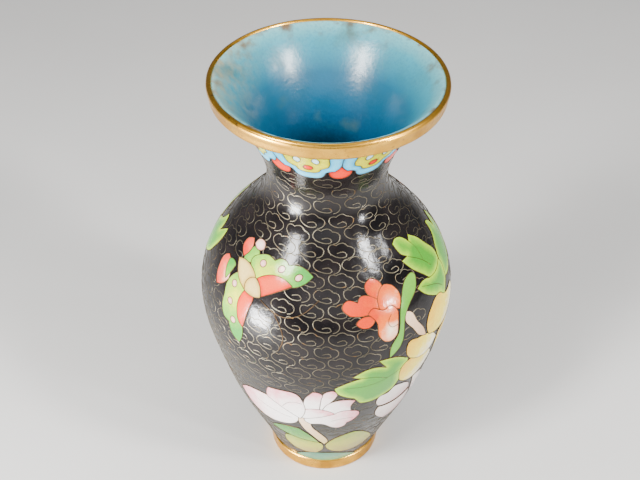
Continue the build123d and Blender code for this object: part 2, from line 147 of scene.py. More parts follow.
def arc(start: Point, middle: Point, end: Point, step: float) -> np.ndarray:
    """Circular arc through three points, sampled evenly.

    Args:
        start: first point.
        middle: a point on the arc.
        end: last point.
        step: distance between samples.

    Returns:
        Array of samples, both ends included.
    """
    a, b, c = (complex(*p) for p in (start, middle, end))
    w = (c - a) / (b - a)
    if abs(w.imag) < 1e-6:
        return spline([start, end], step)
    centre = (b - a) * (w - abs(w) ** 2) / (2j * w.imag) + a
    radius = abs(a - centre)
    first = math.atan2((a - centre).imag, (a - centre).real)
    sweep = math.atan2((c - centre).imag, (c - centre).real) - first
    via = math.atan2((b - centre).imag, (b - centre).real) - first
    turn = 2 * math.pi
    if (via % turn) > (sweep % turn):
        sweep = sweep % turn - turn
    else:
        sweep = sweep % turn
    angles = first + np.linspace(0, sweep, max(3, round(abs(sweep) * radius / step) + 1))
    return np.stack([centre.real + radius * np.cos(angles), centre.imag + radius * np.sin(angles)], 1)


def run_strokes(strokes: list[Stroke], closed: bool, step: float) -> np.ndarray:
    """Sampled line along strokes: two points are straight, three an arc, more a spline.

    Args:
        strokes: strokes in order, each going on from the last one's end.
        closed: whether the last stroke runs back to the first point.
        step: distance between samples.

    Returns:
        Array of samples; a closed line doesn't repeat its first point.
    """
    pen = strokes[0][0]
    pieces = []
    for number, stroke in enumerate(strokes):
        path = list(stroke) if number == 0 else [pen, *stroke]
        if closed and number == len(strokes) - 1:
            path.append(strokes[0][0])
        pen = path[-1]
        piece = arc(*path, step) if len(path) == 3 else spline(path, step)
        pieces.append(piece if not closed and number == len(strokes) - 1 else piece[:-1])
    return np.concatenate(pieces)


def trace(outline: Outline) -> np.ndarray:
    """Closed outline as samples.

    Args:
        outline: strokes, or the centre and radius of a round spot.

    Returns:
        Array of samples round the outline.
    """
    if isinstance(outline, tuple):
        x, y, radius = outline
        angles = np.linspace(0, 2 * math.pi, 24, endpoint=False)
        return np.stack([x + radius * np.cos(angles), y + radius * np.sin(angles)], 1)
    return run_strokes(outline, True, OUTLINE_STEP)


def is_inside(points: np.ndarray, loop: np.ndarray) -> np.ndarray:
    """Which points lie inside a closed loop.

    Args:
        points: points to test.
        loop: samples of the loop.

    Returns:
        One truth value for each point.
    """
    x, y = points[:, 0:1], points[:, 1:2]
    x0, y0 = loop[:, 0], loop[:, 1]
    x1, y1 = np.roll(x0, -1), np.roll(y0, -1)
    crosses = (y0 <= y) != (y1 <= y)
    slope = np.where(y1 == y0, 1.0, y1 - y0)
    side = x < x0 + (y - y0) * (x1 - x0) / slope
    return (np.count_nonzero(crosses & side, axis=1) % 2) == 1


class Wall:
    """Outer face of the body, read by turn and rise."""

    def __init__(self) -> None:
        """Sample the half section finely enough to read it by straight interpolation."""
        curve = spline(PROFILE, PROFILE_STEP)
        self.length = np.concatenate(([0.0], np.cumsum(np.hypot(*np.diff(curve, axis=0).T))))
        self.curve = curve
        self.run = np.gradient(curve, self.length, axis=0)
        self.run /= np.linalg.norm(self.run, axis=1)[:, None]

    def section(self, rise: np.ndarray, lift: np.ndarray | float = 0.0) -> tuple:
        """Radius and height of the outer face at a rise, moved out by a lift.

        Args:
            rise: lengths along the profile from the foot ring, in millimetres.
            lift: heights above the face, in millimetres.

        Returns:
            Radii and heights in millimetres.
        """
        at = np.asarray(rise, float) + BELOW_FOOT_TOP
        radius, height = (np.interp(at, self.length, self.curve[:, i]) for i in (0, 1))
        out, up = (np.interp(at, self.length, self.run[:, i]) for i in (0, 1))
        return radius + up * lift, height - out * lift

    def rise_at(self, height: float) -> float:
        """Rise at a height, in millimetres."""
        return float(np.interp(height, self.curve[:, 1], self.length)) - BELOW_FOOT_TOP

    def points(self, turn: np.ndarray, rise: np.ndarray, lift: np.ndarray | float) -> np.ndarray:
        """Places on the face.

        Args:
            turn: angles from the front, in radians.
            rise: lengths along the profile, in millimetres.
            lift: heights above the face, in millimetres.

        Returns:
            Array of places, in metres.
        """
        radius, height = self.section(rise, lift)
        return np.stack([radius * np.sin(turn), -radius * np.cos(turn), height], -1) * MM


WALL = Wall()


def feed(tree: bpy.types.NodeTree, node: bpy.types.Node, inputs: dict) -> None:
    """Set or link a node's inputs.

    Args:
        tree: the node's tree.
        node: the node.
        inputs: sockets or values by input name or number.
    """
    for key, value in inputs.items():
        if isinstance(value, bpy.types.NodeSocket):
            tree.links.new(value, node.inputs[key])
        else:
            node.inputs[key].default_value = value


def add_node(tree: bpy.types.NodeTree, kind: str, settings: dict | None = None,
             inputs: dict | None = None) -> bpy.types.Node:
    """Node with its settings and its inputs, linked or set.

    Args:
        tree: tree that the node joins.
        kind: Blender's name for the node type.
        settings: properties by name.
        inputs: sockets or values by input name or number.

    Returns:
        The new node.
    """
    node = tree.nodes.new(kind)
    for name, value in (settings or {}).items():
        setattr(node, name, value)
    feed(tree, node, inputs or {})
    return node


def where(tree: bpy.types.NodeTree) -> bpy.types.NodeSocket:
    """Place on the vase, in metres."""
    return add_node(tree, "ShaderNodeTexCoord").outputs["Object"]


def combine(tree: bpy.types.NodeTree, operation: str, *values: object) -> bpy.types.NodeSocket:
    """Result of a sum, product or other operation.

    Args:
        tree: tree that the node joins.
        operation: Blender's name of the operation.
        values: sockets or numbers.

    Returns:
        The result's socket.
    """
    settings = {"operation": operation}
    return add_node(tree, "ShaderNodeMath", settings, dict(enumerate(values))).outputs[0]


def spread(tree: bpy.types.NodeTree, value: bpy.types.NodeSocket, low: float, high: float,
           first: float = 0.0, last: float = 1.0) -> bpy.types.NodeSocket:
    """Value stretched from one range to another and kept within it.

    Args:
        tree: tree that the node joins.
        value: socket that is read.
        low: value that becomes the first.
        high: value that becomes the last.
        first: result for the low value.
        last: result for the high value.

    Returns:
        The result's socket.
    """
    return add_node(tree, "ShaderNodeMapRange", inputs={
        "Value": value, "From Min": low, "From Max": high, "To Min": first, "To Max": last,
    }).outputs["Result"]


def bump(tree: bpy.types.NodeTree, height: bpy.types.NodeSocket, strength: float, depth: float,
         under: bpy.types.NodeSocket | None = None) -> bpy.types.NodeSocket:
    """Fine relief.

    Args:
        tree: tree that the node joins.
        height: the relief's height, from 0 to 1.
        strength: share of the relief that shows.
        depth: height of the relief in millimetres.
        under: coarser relief that it lies on.

    Returns:
        The normal's socket.
    """
    relief = {"Strength": strength, "Distance": depth * MM, "Height": height}
    if under is not None:
        relief["Normal"] = under
    return add_node(tree, "ShaderNodeBump", inputs=relief).outputs["Normal"]


def ramp(tree: bpy.types.NodeTree, factor: bpy.types.NodeSocket,
         stops: list[tuple[float, str]]) -> bpy.types.NodeSocket:
    """Colour ramp.

    Args:
        tree: tree that the ramp joins.
        factor: socket that is read.
        stops: positions and sRGB hex colours, in order.

    Returns:
        The ramp's colour socket.
    """
    node = add_node(tree, "ShaderNodeValToRGB", inputs={"Fac": factor})
    points = node.color_ramp.elements
    while len(points) < len(stops):
        points.new(0.5)
    for point, (place, code) in zip(points, stops):
        point.position = place
        point.color = srgb(code)
    return node.outputs["Color"]


def mix(tree: bpy.types.NodeTree, factor: bpy.types.NodeSocket | float,
        first: bpy.types.NodeSocket | tuple, second: bpy.types.NodeSocket | tuple,
        blend: str = "MIX") -> bpy.types.NodeSocket:
    """Colour mix of two colours.

    Args:
        tree: tree that the node joins.
        factor: share of the second colour.
        first: colour or socket.
        second: colour or socket.
        blend: Blender's name of the blend.

    Returns:
        The mixed colour's socket.
    """
    settings = {"data_type": "RGBA", "blend_type": blend}
    node = add_node(tree, "ShaderNodeMix", settings, {0: factor, 6: first, 7: second})
    return node.outputs[2]


def grain(tree: bpy.types.NodeTree, size: float, low: float, high: float,
          detail: float = 3.0) -> bpy.types.NodeSocket:
    """Noise of a real size, stretched so that low and high become 0 and 1.

    Args:
        tree: tree that the nodes join.
        size: size of the blotches in millimetres.
        low: noise value that becomes 0.
        high: noise value that becomes 1.
        detail: octaves of finer noise.

    Returns:
        Value socket.
    """
    cloud = add_node(tree, "ShaderNodeTexNoise", inputs={
        "Vector": where(tree), "Scale": per_mm(size), "Detail": detail})
    return spread(tree, cloud.outputs["Fac"], low, high)


def surface(name: str) -> tuple:
    """New material with an empty surface shader.

    Args:
        name: name of the material.

    Returns:
        The material, its tree and its surface shader.
    """
    material = bpy.data.materials.new(name)
    material.use_nodes = True
    tree = material.node_tree
    tree.nodes.clear()
    shader = add_node(tree, "ShaderNodeBsdfPrincipled")
    add_node(tree, "ShaderNodeOutputMaterial", inputs={"Surface": shader.outputs["BSDF"]})
    return material, tree, shader


@dataclass(frozen=True)
class FiredEnamel:
    """Opaque glass enamel, packed wet into a cell, fired and stoned flush.

    The eye sees a glossy, slightly wavy face whose colour runs from the cell's root to its tip,
    with a fine grain of crushed glass.

    Args:
        name: name of the material.
        root: colour where the cell's fade starts.
        middle: colour halfway.
        tip: colour where it ends.
        grain_mm: size of the crushed glass grains, in millimetres.
        grain_share: how much the grains dull the colour.
        drift: how far the fade wanders, as a share of its length.
        roughness: roughness of the clean face.
    """

    name: str
    root: str
    middle: str
    tip: str
    grain_mm: float = 0.35
    grain_share: float = 0.25
    drift: float = 0.22
    roughness: float = 0.16

    def make(self) -> bpy.types.Material:
        """Build the material."""
        material, tree, shader = surface(self.name)
        fade = add_node(tree, "ShaderNodeAttribute", {"attribute_name": "fade"}).outputs["Fac"]
        wander = combine(tree, "MULTIPLY_ADD", grain(tree, 2.2, 0.3, 0.7), self.drift, fade)
        start = combine(tree, "SUBTRACT", wander, self.drift / 2)
        colour = ramp(tree, start, [(0.05, self.root), (0.5, self.middle), (0.95, self.tip)])
        speckle = grain(tree, self.grain_mm, 0.35, 0.7, 1.0)
        dusk = mix(tree, self.grain_share, colour, srgb("B8B0A0"), "MULTIPLY")
        colour = mix(tree, speckle, dusk, colour)
        gloss = spread(tree, speckle, 0.0, 1.0, self.roughness + 0.07, self.roughness)
        feed(tree, shader, {
            "Base Color": colour, "Roughness": gloss,
            "Normal": bump(tree, grain(tree, 1.6, 0.2, 0.8), 0.12, 0.25),
            "Specular IOR Level": 0.3, "Coat Weight": 0.05, "Coat Roughness": 0.06})
        return material


@dataclass(frozen=True)
class GroundEnamel:
    """Black enamel ground, stoned and polished: deep gloss with a faint haze and firing pits."""

    name: str = "black_fired_enamel"

    def make(self) -> bpy.types.Material:
        """Build the material."""
        material, tree, shader = surface(self.name)
        haze = grain(tree, 9.0, 0.35, 0.75)
        colour = mix(tree, haze, srgb("0D0B0C"), srgb("1C1717"))
        cells = add_node(tree, "ShaderNodeTexVoronoi", inputs={
            "Vector": where(tree), "Scale": per_mm(1.3)})
        pits = spread(tree, cells.outputs["Distance"], 0.05, 0.11)
        clear = combine(tree, "MAXIMUM", pits, grain(tree, 4.0, 0.52, 0.6))
        colour = mix(tree, clear, srgb("3A2E26"), colour)
        waves = bump(tree, grain(tree, 3.5, 0.2, 0.8), 0.25, 0.3)
        feed(tree, shader, {
            "Base Color": colour, "Roughness": spread(tree, haze, 0.0, 1.0, 0.13, 0.24),
            "Normal": bump(tree, clear, 0.6, 0.08, waves), "Specular IOR Level": 0.28,
            "Coat Weight": 0.05, "Coat Roughness": 0.08})
        return material


@dataclass(frozen=True)
class LiningEnamel:
    """Turquoise counter enamel, sifted on and fired.

    The eye sees it mottled and pitted, with painted shade that darkens it down the neck, and burnt brown at
    the rim.

    Args:
        name: name of the material.
        deep: height in metres where the painted shade down the neck is darkest.
        lip: height in metres of the lip.
    """

    name: str = "turquoise_sifted_enamel"
    deep: float = 0.118
    lip: float = 0.160

    def make(self) -> bpy.types.Material:
        """Build the material."""
        material, tree, shader = surface(self.name)
        place = add_node(tree, "ShaderNodeSeparateXYZ", inputs={0: where(tree)}).outputs
        # Painted shade: the lining's colour darkens with depth down the neck and pales towards the lip.
        climb = spread(tree, place["Z"], self.deep, self.lip)
        depth = ramp(tree, climb, [
            (0.0, "012A40"), (0.35, "034462"), (0.68, "0A5A74"), (0.9, "3E93A2"), (1.0, "7FB8B8")])
        blotch = mix(tree, 0.5, depth, srgb("9BD4DE"), "SOFT_LIGHT")
        colour = mix(tree, grain(tree, 9.0, 0.36, 0.66), depth, blotch)
        speckle = mix(tree, 0.22, colour, srgb("0F5B80"))
        colour = mix(tree, grain(tree, 0.8, 0.45, 0.7, 1.0), colour, speckle)
        edge = spread(tree, place["Z"], self.lip - 0.0055, self.lip - 0.0008)
        burn = combine(tree, "MULTIPLY", edge, grain(tree, 5.0, 0.5, 0.68))
        colour = mix(tree, burn, colour, srgb("6A5234"))
        colour = mix(tree, grain(tree, 17.0, 0.56, 0.74, 5.0), colour, srgb("45605A"))
        # Paler grey-beige blotches, laid over the left side of the lining only.
        left = spread(tree, place["X"], -0.021, -0.036)
        worn = combine(tree, "MULTIPLY", left, grain(tree, 2.6, 0.3, 0.7, 5.0))
        colour = mix(tree, worn, colour, srgb("9A9A80"))
        fine = bump(tree, grain(tree, 1.1, 0.2, 0.8), 0.16, 0.2)
        feed(tree, shader, {
            "Base Color": colour, "Roughness": 0.3,
            "Normal": bump(tree, grain(tree, 6.0, 0.2, 0.8), 0.1, 0.8, fine),
            "Coat Weight": 0.15, "Coat Roughness": 0.16})
        return material


@dataclass(frozen=True)
class GiltBrass:
    """Brass, gilt and buffed: warm gold, finely scratched, a little darker where it is handled.

    Args:
        name: name of the material.
        bright: colour of the buffed metal.
        worn: colour where it is handled.
        roughness: roughness of the buffed metal.
    """

    name: str = "gilt_buffed_brass"
    bright: str = "E6AE3E"
    worn: str = "B98528"
    roughness: float = 0.27

    def make(self) -> bpy.types.Material:
        """Build the material."""
        material, tree, shader = surface(self.name)
        wear = grain(tree, 6.0, 0.35, 0.7)
        colour = mix(tree, wear, srgb(self.bright), srgb(self.worn))
        colour = mix(tree, grain(tree, 2.0, 0.62, 0.75), colour, srgb("8A6436"))
        squeeze = add_node(tree, "ShaderNodeMapping", inputs={
            "Vector": where(tree), "Scale": (1.0, 1.0, 14.0)})
        lines = add_node(tree, "ShaderNodeTexNoise", inputs={
            "Vector": squeeze.outputs["Vector"], "Scale": per_mm(3.0), "Detail": 4.0})
        gloss = spread(tree, wear, 0.0, 1.0, self.roughness - 0.04, self.roughness + 0.14)
        feed(tree, shader, {
            "Base Color": colour, "Metallic": 1.0, "Roughness": gloss,
            "Normal": bump(tree, lines.outputs["Fac"], 0.12, 0.06)})
        return material


@dataclass(frozen=True)
class RaisedCopper:
    """Copper sheet, raised with a hammer and pickled: soft red-brown sheen."""

    name: str = "raised_pickled_copper"

    def make(self) -> bpy.types.Material:
        """Build the material."""
        material, tree, shader = surface(self.name)
        colour = mix(tree, grain(tree, 5.0, 0.35, 0.7), srgb("B5714C"), srgb("8A4E34"))
        feed(tree, shader, {
            "Base Color": colour, "Metallic": 1.0, "Roughness": 0.42,
            "Normal": bump(tree, grain(tree, 4.0, 0.3, 0.7), 0.3, 0.3)})
        return material


# Border under the rim, drawn about the middle of one lappet; x and y in millimetres along the wall
LAPPET_CELLS = [
    ("lappet_dot_enamel", (0, 1.0, 1.5)),
    ("lappet_pearl_enamel", [[(-2.9, 3.8), (-1.7, 6.0), (-2.9, 8.2)], [(-4.1, 6.0)]]),
    ("lappet_pearl_enamel", [[(2.9, 3.8), (4.1, 6.0), (2.9, 8.2)], [(1.7, 6.0)]]),
    ("lappet_yellow_enamel", [
        [(-8.4, 13.6), (-7.2, 7.0), (-7.0, 4.0), (-6.2, 1.6)], [(-5.0, 0.9), (-3.9, 0.3)],
        [(-3.0, -1.4), (0, -2.1), (3.0, -1.4), (3.9, 0.3)], [(5.0, 0.9), (6.2, 1.6)],
        [(7.0, 4.0), (7.2, 7.0), (8.4, 13.6)],
    ]),
    ("lappet_blue_enamel", [
        [(-12.9, 13.6), (-11.2, 6.0), (-9.9, 1.4), (-7.8, -1.2)], [(-6.2, -1.3), (-5.1, -2.0)],
        [(-3.9, -4.3), (0, -5.3), (3.9, -4.3), (5.1, -2.0)], [(6.2, -1.3), (7.8, -1.2)],
        [(9.9, 1.4), (11.2, 6.0), (12.9, 13.6)],
    ]),
]

# Red fan in the gap between two lappets, drawn about the middle of the gap
FAN_CELLS = [
    ("lappet_red_enamel", [
        [(-3.0, 0.8), (-3.6, -1.4), (-3.3, -3.4)], [(0, -5.5), (3.3, -3.4)],
        [(3.6, -1.4), (3.0, 0.8)], [(0, 1.6)],
    ]),
]

# Butterfly on the left of the shoulder, front cells first
BUTTERFLY_CELLS = [
    ("butterfly_spot_enamel", (0.5, 15.6, 1.2)),
    ("butterfly_spot_enamel", (7.3, 16.2, 1.2)),
    ("butterfly_spot_enamel", (13.8, 14.9, 1.2)),
    ("butterfly_spot_enamel", (-7.2, 4.6, 1.2)),
    ("butterfly_spot_enamel", (-7.0, -1.6, 1.2)),
    ("butterfly_spot_enamel", (-4.2, -7.2, 1.2)),
    ("butterfly_body_enamel", [
        [(-9.7, 12.5), (-5.1, 13.4), (0.2, 10.3)], [(-2.9, 7.6), (-2.3, 4.8)],
        [(-6.5, 7.3), (-8.7, 10.5)],
    ]),
    ("butterfly_body_enamel", [
        [(0.2, 10.3), (2.8, 8.3), (4.2, 5.0)], [(1.0, 4.2), (-2.3, 4.8)], [(-2.9, 7.6)],
    ]),
    ("butterfly_patch_enamel", [
        [(0.6, 10.4), (3.1, 12.5), (6.7, 13.7), (9.5, 13.4), (13.1, 11.8)],
        [(9.5, 9.1), (4.4, 5.4)], [(2.8, 8.3)],
    ]),
    ("butterfly_patch_enamel", [
        [(-2.4, 4.6), (-3.6, 0.9), (-3.3, -2.7), (-1.5, -6.4), (0.4, -7.7)],
        [(0.8, -4.5), (1.5, 0.5), (1.7, 4.3)],
    ]),
    ("butterfly_wing_enamel", [
        [(-3.0, 12.2), (-4.2, 15.0), (-1.5, 17.9), (1.3, 18.8), (4.0, 18.0)],
        [(6.3, 19.4), (8.8, 18.1)], [(12.2, 18.6), (15.4, 17.6), (18.1, 15.9)],
        [(16.3, 13.0), (13.0, 11.4)], [(6.0, 8.0), (0.4, 9.6)],
    ]),
    ("butterfly_wing_enamel", [
        [(-7.4, 8.6), (-9.8, 5.6), (-10.8, 2.4), (-10.4, -1.0)],
        [(-10.4, -5.2), (-8.6, -8.2), (-6.0, -8.9)], [(-4.6, -12.0), (-0.8, -14.5)],
        [(0.5, -11.2), (0.3, -7.6)], [(-0.6, -2.0), (-2.2, 5.0)],
    ]),
    ("butterfly_plume_enamel", [
        [(-8.0, 13.9), (-10.3, 16.5), (-9.7, 19.3), (-7.2, 20.8)], [(-6.2, 18.8), (-6.6, 16.0)],
    ]),
    ("butterfly_spot_enamel", [
        [(-5.9, 19.7), (-4.8, 21.8), (-2.4, 21.8), (-1.5, 19.7)], [(-3.6, 18.5)],
    ]),
    ("butterfly_wing_enamel", [
        [(-9.6, 9.8), (-11.8, 10.6), (-13.7, 9.6)], [(-13.5, 6.0), (-12.2, 3.6)], [(-10.8, 6.4)],
    ]),
    ("butterfly_wing_enamel", [
        [(-7.6, 13.4), (-6.8, 17.0), (-5.0, 19.2)], [(-2.6, 18.2), (-2.8, 14.8)], [(-4.4, 13.6)],
    ]),
    ("butterfly_plume_enamel", [
        [(-14.8, 10.6), (-17.2, 8.6), (-17.9, 5.2)], [(-17.6, 2.0), (-16.2, -0.6)],
        [(-12.6, 1.6), (-10.6, 4.4)], [(-11.6, 8.2)],
    ]),
]

# Orange flower, its leaf and stem, on the right of the shoulder
FLOWER_CELLS = [
    ("flower_petal_enamel", [
        [(-14.2, 2.6), (-11.9, -1.4), (-12.2, -5.4), (-10.4, -8.4)],
        [(-8.2, -8.9), (-5.8, -7.4), (-4.8, -4.6)], [(-4.2, -1.8), (-3.7, 0.2)],
        [(-4.4, 2.2), (-6.2, 3.3), (-8.6, 2.7), (-11.6, 4.2)],
    ]),
    ("flower_petal_enamel", [
        [(-9.6, 6.6), (-8.0, 9.2), (-5.4, 10.6), (-3.0, 9.4)],
        [(-1.5, 6.4), (-1.9, 3.2), (-3.0, 1.0)], [(-5.6, 2.0), (-9.4, 2.4)],
    ]),
    ("flower_petal_enamel", [
        [(-20.0, 3.0), (-21.6, 5.6), (-18.8, 8.2), (-16.2, 7.0)],
        [(-14.4, 8.9), (-12.0, 8.6), (-9.2, 6.4)], [(-8.8, 3.4)], [(-15.0, 2.4)],
    ]),
    ("flower_petal_enamel", [
        [(-10.0, 6.9), (-12.2, 9.6), (-11.6, 12.4), (-9.4, 13.8)], [(-7.2, 12.6), (-6.4, 9.6)],
        [(-8.0, 7.4)],
    ]),
    ("flower_petal_enamel", [[(-18.8, 0.0), (-16.0, 2.0), (-12.2, 1.0)], [(-14.8, -1.9)]]),
    ("flower_leaf_enamel", [
        [(-8.7, -16.2), (-6.0, -14.2), (-3.9, -11.4), (-2.9, -8.0), (-1.5, -2.5), (2.0, 1.5),
         (6.0, 5.0), (7.1, 8.0)],
        [(6.4, 9.4), (4.0, 9.6), (0.5, 7.0), (-1.6, 3.2), (-3.3, -1.0), (-4.2, -5.0),
         (-5.2, -7.6), (-8.0, -11.0)],
    ]),
    ("flower_stem_enamel", [
        [(-0.9, -0.9), (-1.7, -4.2), (0.5, -7.8), (4.0, -13.0), (7.3, -14.8)],
        [(5.5, -10.0), (3.0, -6.0), (1.2, -2.0)],
    ]),
]

# Yellow and white peony and its leaves, on the right of the belly
PEONY_CELLS = [
    ("peony_petal_enamel", [
        [(9.0, -15.8), (7.7, -12.4), (8.6, -8.4), (12.6, -4.9)], [(16.4, -4.2), (19.6, -6.4)],
        [(24.0, -8.0), (29.0, -8.2), (31.8, -12.0)], [(30.0, -16.4), (25.0, -18.0)],
        [(17.0, -18.6)],
    ]),
    ("peony_petal_enamel", [
        [(0.2, -21.2), (-1.8, -17.2), (-0.8, -13.0), (3.0, -13.6)],
        [(7.6, -14.6), (12.0, -17.4), (15.2, -21.6)], [(12.4, -25.2), (7.0, -25.4)],
    ]),
    ("peony_petal_enamel", [
        [(-1.4, -33.0), (-2.8, -28.0), (-1.8, -23.0), (1.6, -21.8)],
        [(6.8, -23.6), (12.6, -26.6), (15.0, -31.6)], [(11.0, -36.4), (4.0, -37.0)],
    ]),
    ("peony_petal_enamel", [
        [(16.4, -20.8), (21.6, -19.0), (27.0, -19.6), (30.4, -23.6)],
        [(29.0, -29.0), (24.0, -33.0), (17.6, -34.0)], [(16.4, -27.0)],
    ]),
    ("peony_leaf_enamel", [
        [(3.5, 20.8), (5.0, 21.8), (8.0, 21.0), (10.6, 18.0)], [(11.7, 19.8)],
        [(15.4, 16.6), (19.2, 11.9), (22.6, 7.0), (22.8, 4.6)], [(18.0, 3.0), (13.3, 3.7)],
        [(10.1, 6.9), (6.1, 11.2), (4.1, 14.5)], [(7.0, 14.8)],
        [(5.0, 16.4), (4.0, 18.6)],
    ]),
    ("peony_leaf_enamel", [
        [(6.2, 3.6), (9.8, 4.6), (13.4, 3.4)], [(18.6, 4.6), (22.6, 4.2), (24.6, -3.0)],
        [(21.4, -7.4)], [(17.6, -5.4), (13.0, -2.8), (8.6, 0.6)],
    ]),
    ("peony_leaf_enamel", [
        [(24.2, -3.0), (23.2, 4.0), (24.8, 8.4), (27.0, 10.8), (26.8, 14.6)],
        [(30.4, 13.0), (33.0, 9.6)], [(34.4, 14.0)], [(38.6, 9.0), (39.4, 2.0)], [(32.0, -3.6)],
    ]),
    ("peony_leaf_enamel", [
        [(-0.6, -20.6), (-4.0, -18.0), (-8.0, -16.4), (-12.6, -16.0)], [(-9.4, -20.4)],
        [(-13.0, -18.8), (-17.2, -19.0), (-21.2, -21.6)], [(-18.0, -22.9)],
        [(-22.2, -24.2), (-26.4, -27.2)], [(-25.0, -30.2), (-22.2, -32.8), (-18.2, -35.0)],
        [(-15.4, -39.0)], [(-11.4, -39.8), (-7.6, -38.6), (-3.6, -36.4)], [(-1.4, -30.0)],
    ]),
]

# Magnolia low on the front, and the leaves and the bank at the foot
MAGNOLIA_CELLS = [
    ("magnolia_petal_enamel", [
        [(-8.7, 2.0), (-14.8, 7.2), (-20.6, 11.8)], [(-21.0, 16.0), (-20.2, 19.0)],
        [(-15.9, 19.7), (-10.3, 19.6), (-7.6, 14.0)], [(-7.0, 8.0)],
    ]),
    ("magnolia_petal_enamel", [
        [(-33.4, 6.4), (-30.0, 10.4), (-25.6, 12.2), (-19.6, 12.6)], [(-14.6, 8.6), (-9.7, 3.8)],
        [(-10.2, -1.8), (-13.2, -4.8)], [(-20.2, -7.0), (-27.6, -4.2)],
    ]),
    ("magnolia_petal_enamel", [
        [(3.2, 7.1), (6.4, 9.0), (9.4, 8.2)], [(11.7, 6.4), (11.2, 3.6)], [(9.6, 1.0), (7.4, -0.6)],
        [(5.8, -3.6), (4.2, -4.2)], [(2.0, -3.2), (-0.4, -1.0), (-4.8, -1.2)],
        [(-6.8, 0.4), (-7.4, 2.6)], [(-1.6, 4.8)],
    ]),
    ("magnolia_petal_enamel", [
        [(-9.0, 2.8), (-9.2, 6.6), (-7.4, 9.6)], [(-2.4, 10.6), (3.2, 7.1)], [(-1.6, 4.2)],
    ]),
    ("magnolia_petal_enamel", [
        [(-1.2, 9.4), (0.8, 14.4), (5.4, 16.8), (10.4, 15.4)], [(8.9, 12.8), (8.8, 9.0)],
        [(6.0, 7.6), (3.2, 6.9)], [(0.8, 8.2)],
    ]),
    ("magnolia_petal_enamel", [
        [(-7.4, 8.0), (-7.6, 13.0), (-6.8, 18.0), (-4.4, 22.2)], [(-2.2, 22.0), (-1.4, 18.6)],
        [(-1.8, 14.0), (-2.2, 9.0)], [(-4.6, 7.8)],
    ]),
    ("magnolia_petal_enamel", [
        [(-2.4, 9.0), (-2.0, 14.0), (-1.5, 18.6)], [(0.2, 22.6), (2.4, 23.4), (4.0, 20.8)],
        [(2.8, 17.6), (1.4, 15.2), (0.4, 12.6), (0.2, 9.6)],
    ]),
    ("magnolia_stem_enamel", [
        [(-10.4, 4.2), (-9.0, -1.5), (-7.4, -6.4), (-4.9, -11.5), (-2.2, -17.4), (-0.2, -21.4)],
        [(0.9, -18.6), (-0.4, -12.4), (-2.6, -8.0), (-4.4, -4.4), (-5.2, 0.0), (-6.4, 3.4)],
    ]),
]
FOOT_LEAF_CELLS = [
    ("foot_green_enamel", [
        [(-20.4, -13.4), (-17.6, -9.8), (-13.0, -7.6), (-9.4, -7.2)], [(-6.0, -11.5), (-2.2, -19.6)],
        [(-8.4, -18.2), (-13.8, -16.6)],
    ]),
    ("foot_yellow_enamel", [
        [(-14.6, -18.0), (-15.2, -23.0), (-13.4, -28.4)], [(-9.6, -31.6), (-3.0, -31.4)],
        [(-0.6, -26.0), (-1.4, -20.4)], [(-8.0, -17.0)],
    ]),
    ("foot_yellow_enamel", [
        [(0.4, -21.4), (3.2, -15.8), (7.0, -12.2), (10.4, -10.8), (14.0, -13.6)],
        [(17.2, -20.0), (18.6, -27.0)], [(11.0, -31.6), (3.4, -30.0)], [(0.6, -26.0)],
    ]),
    ("bank_enamel", [[(-11.0, -38.8), (-8.6, -34.8), (-3.4, -31.6)], [(3.0, -31.8), (12.0, -38.8)]]),
]
PALE_FLOWER_CELLS = [
    ("pale_flower_enamel", [
        [(19.2, 6.0), (18.0, 10.0), (19.4, 13.6)], [(22.6, 13.8), (25.0, 16.2), (28.4, 15.0)],
        [(32.0, 12.0), (33.0, 6.0)], [(26.0, 4.6)],
    ]),
    ("pale_flower_enamel", [
        [(19.2, 5.2), (18.0, 1.6), (19.0, -2.8), (22.2, -8.0)],
        [(28.0, -7.8), (33.4, -3.4), (34.0, 4.6)], [(26.6, 3.4)],
    ]),
    ("pale_flower_enamel", [
        [(34.2, 14.0), (38.4, 13.0), (42.0, 9.0)], [(42.4, 1.0), (38.0, -4.6)],
        [(35.4, 0.0), (34.9, 5.2)],
    ]),
]

# Wires that bound no cell: the butterfly's feelers, the curl in the orange flower and the veins
FEELERS = [
    [(4.7, 4.4), (9.5, 2.3), (14.0, 1.4), (19.0, 3.2), (23.1, 8.6)],
    [(10.6, 1.6), (14.0, -2.7), (15.4, -6.4), (14.5, -10.9)],
]
CURLS = [[(-4.9, -3.9), (-7.4, -3.8), (-8.1, -2.4), (-7.6, -0.9), (-6.4, 0.5)]]
LEAF_VEINS = [
    [(7.2, 14.5), (10.4, 12.2), (13.4, 9.6), (16.4, 6.2)],
    [(10.6, 18.0), (12.0, 15.8), (13.0, 13.0), (13.4, 9.6)],
    [(8.4, 3.2), (12.0, 1.6), (16.0, -0.4), (20.0, -3.4)],
    [(-23.6, -27.4), (-16.0, -28.0), (-8.0, -26.8), (-2.6, -24.4)],
    [(-18.0, -22.8), (-14.0, -23.6), (-10.4, -25.2), (-8.0, -26.8)],
]
PETAL_VEINS = [
    [(-15.0, 8.6), (-13.2, 12.0), (-10.6, 13.6), (-8.0, 13.2)],
    [(-27.0, 6.4), (-22.0, 4.0), (-17.0, 2.4), (-12.0, 1.4)],
    [(2.0, 1.6), (4.6, 2.8), (7.4, 3.2), (9.6, 3.2)],
]


def add_object(name: str, places: np.ndarray, edges: list, faces: list) -> bpy.types.Object:
    """New mesh object at the origin.

    Args:
        name: name of the object.
        places: vertex places in metres.
        edges: vertex numbers of each loose edge.
        faces: vertex numbers of each face.

    Returns:
        The object, in the scene.
    """
    mesh = bpy.data.meshes.new(name)
    mesh.from_pydata([tuple(place) for place in places], edges, faces)
    piece = bpy.data.objects.new(name, mesh)
    bpy.context.scene.collection.objects.link(piece)
    return piece


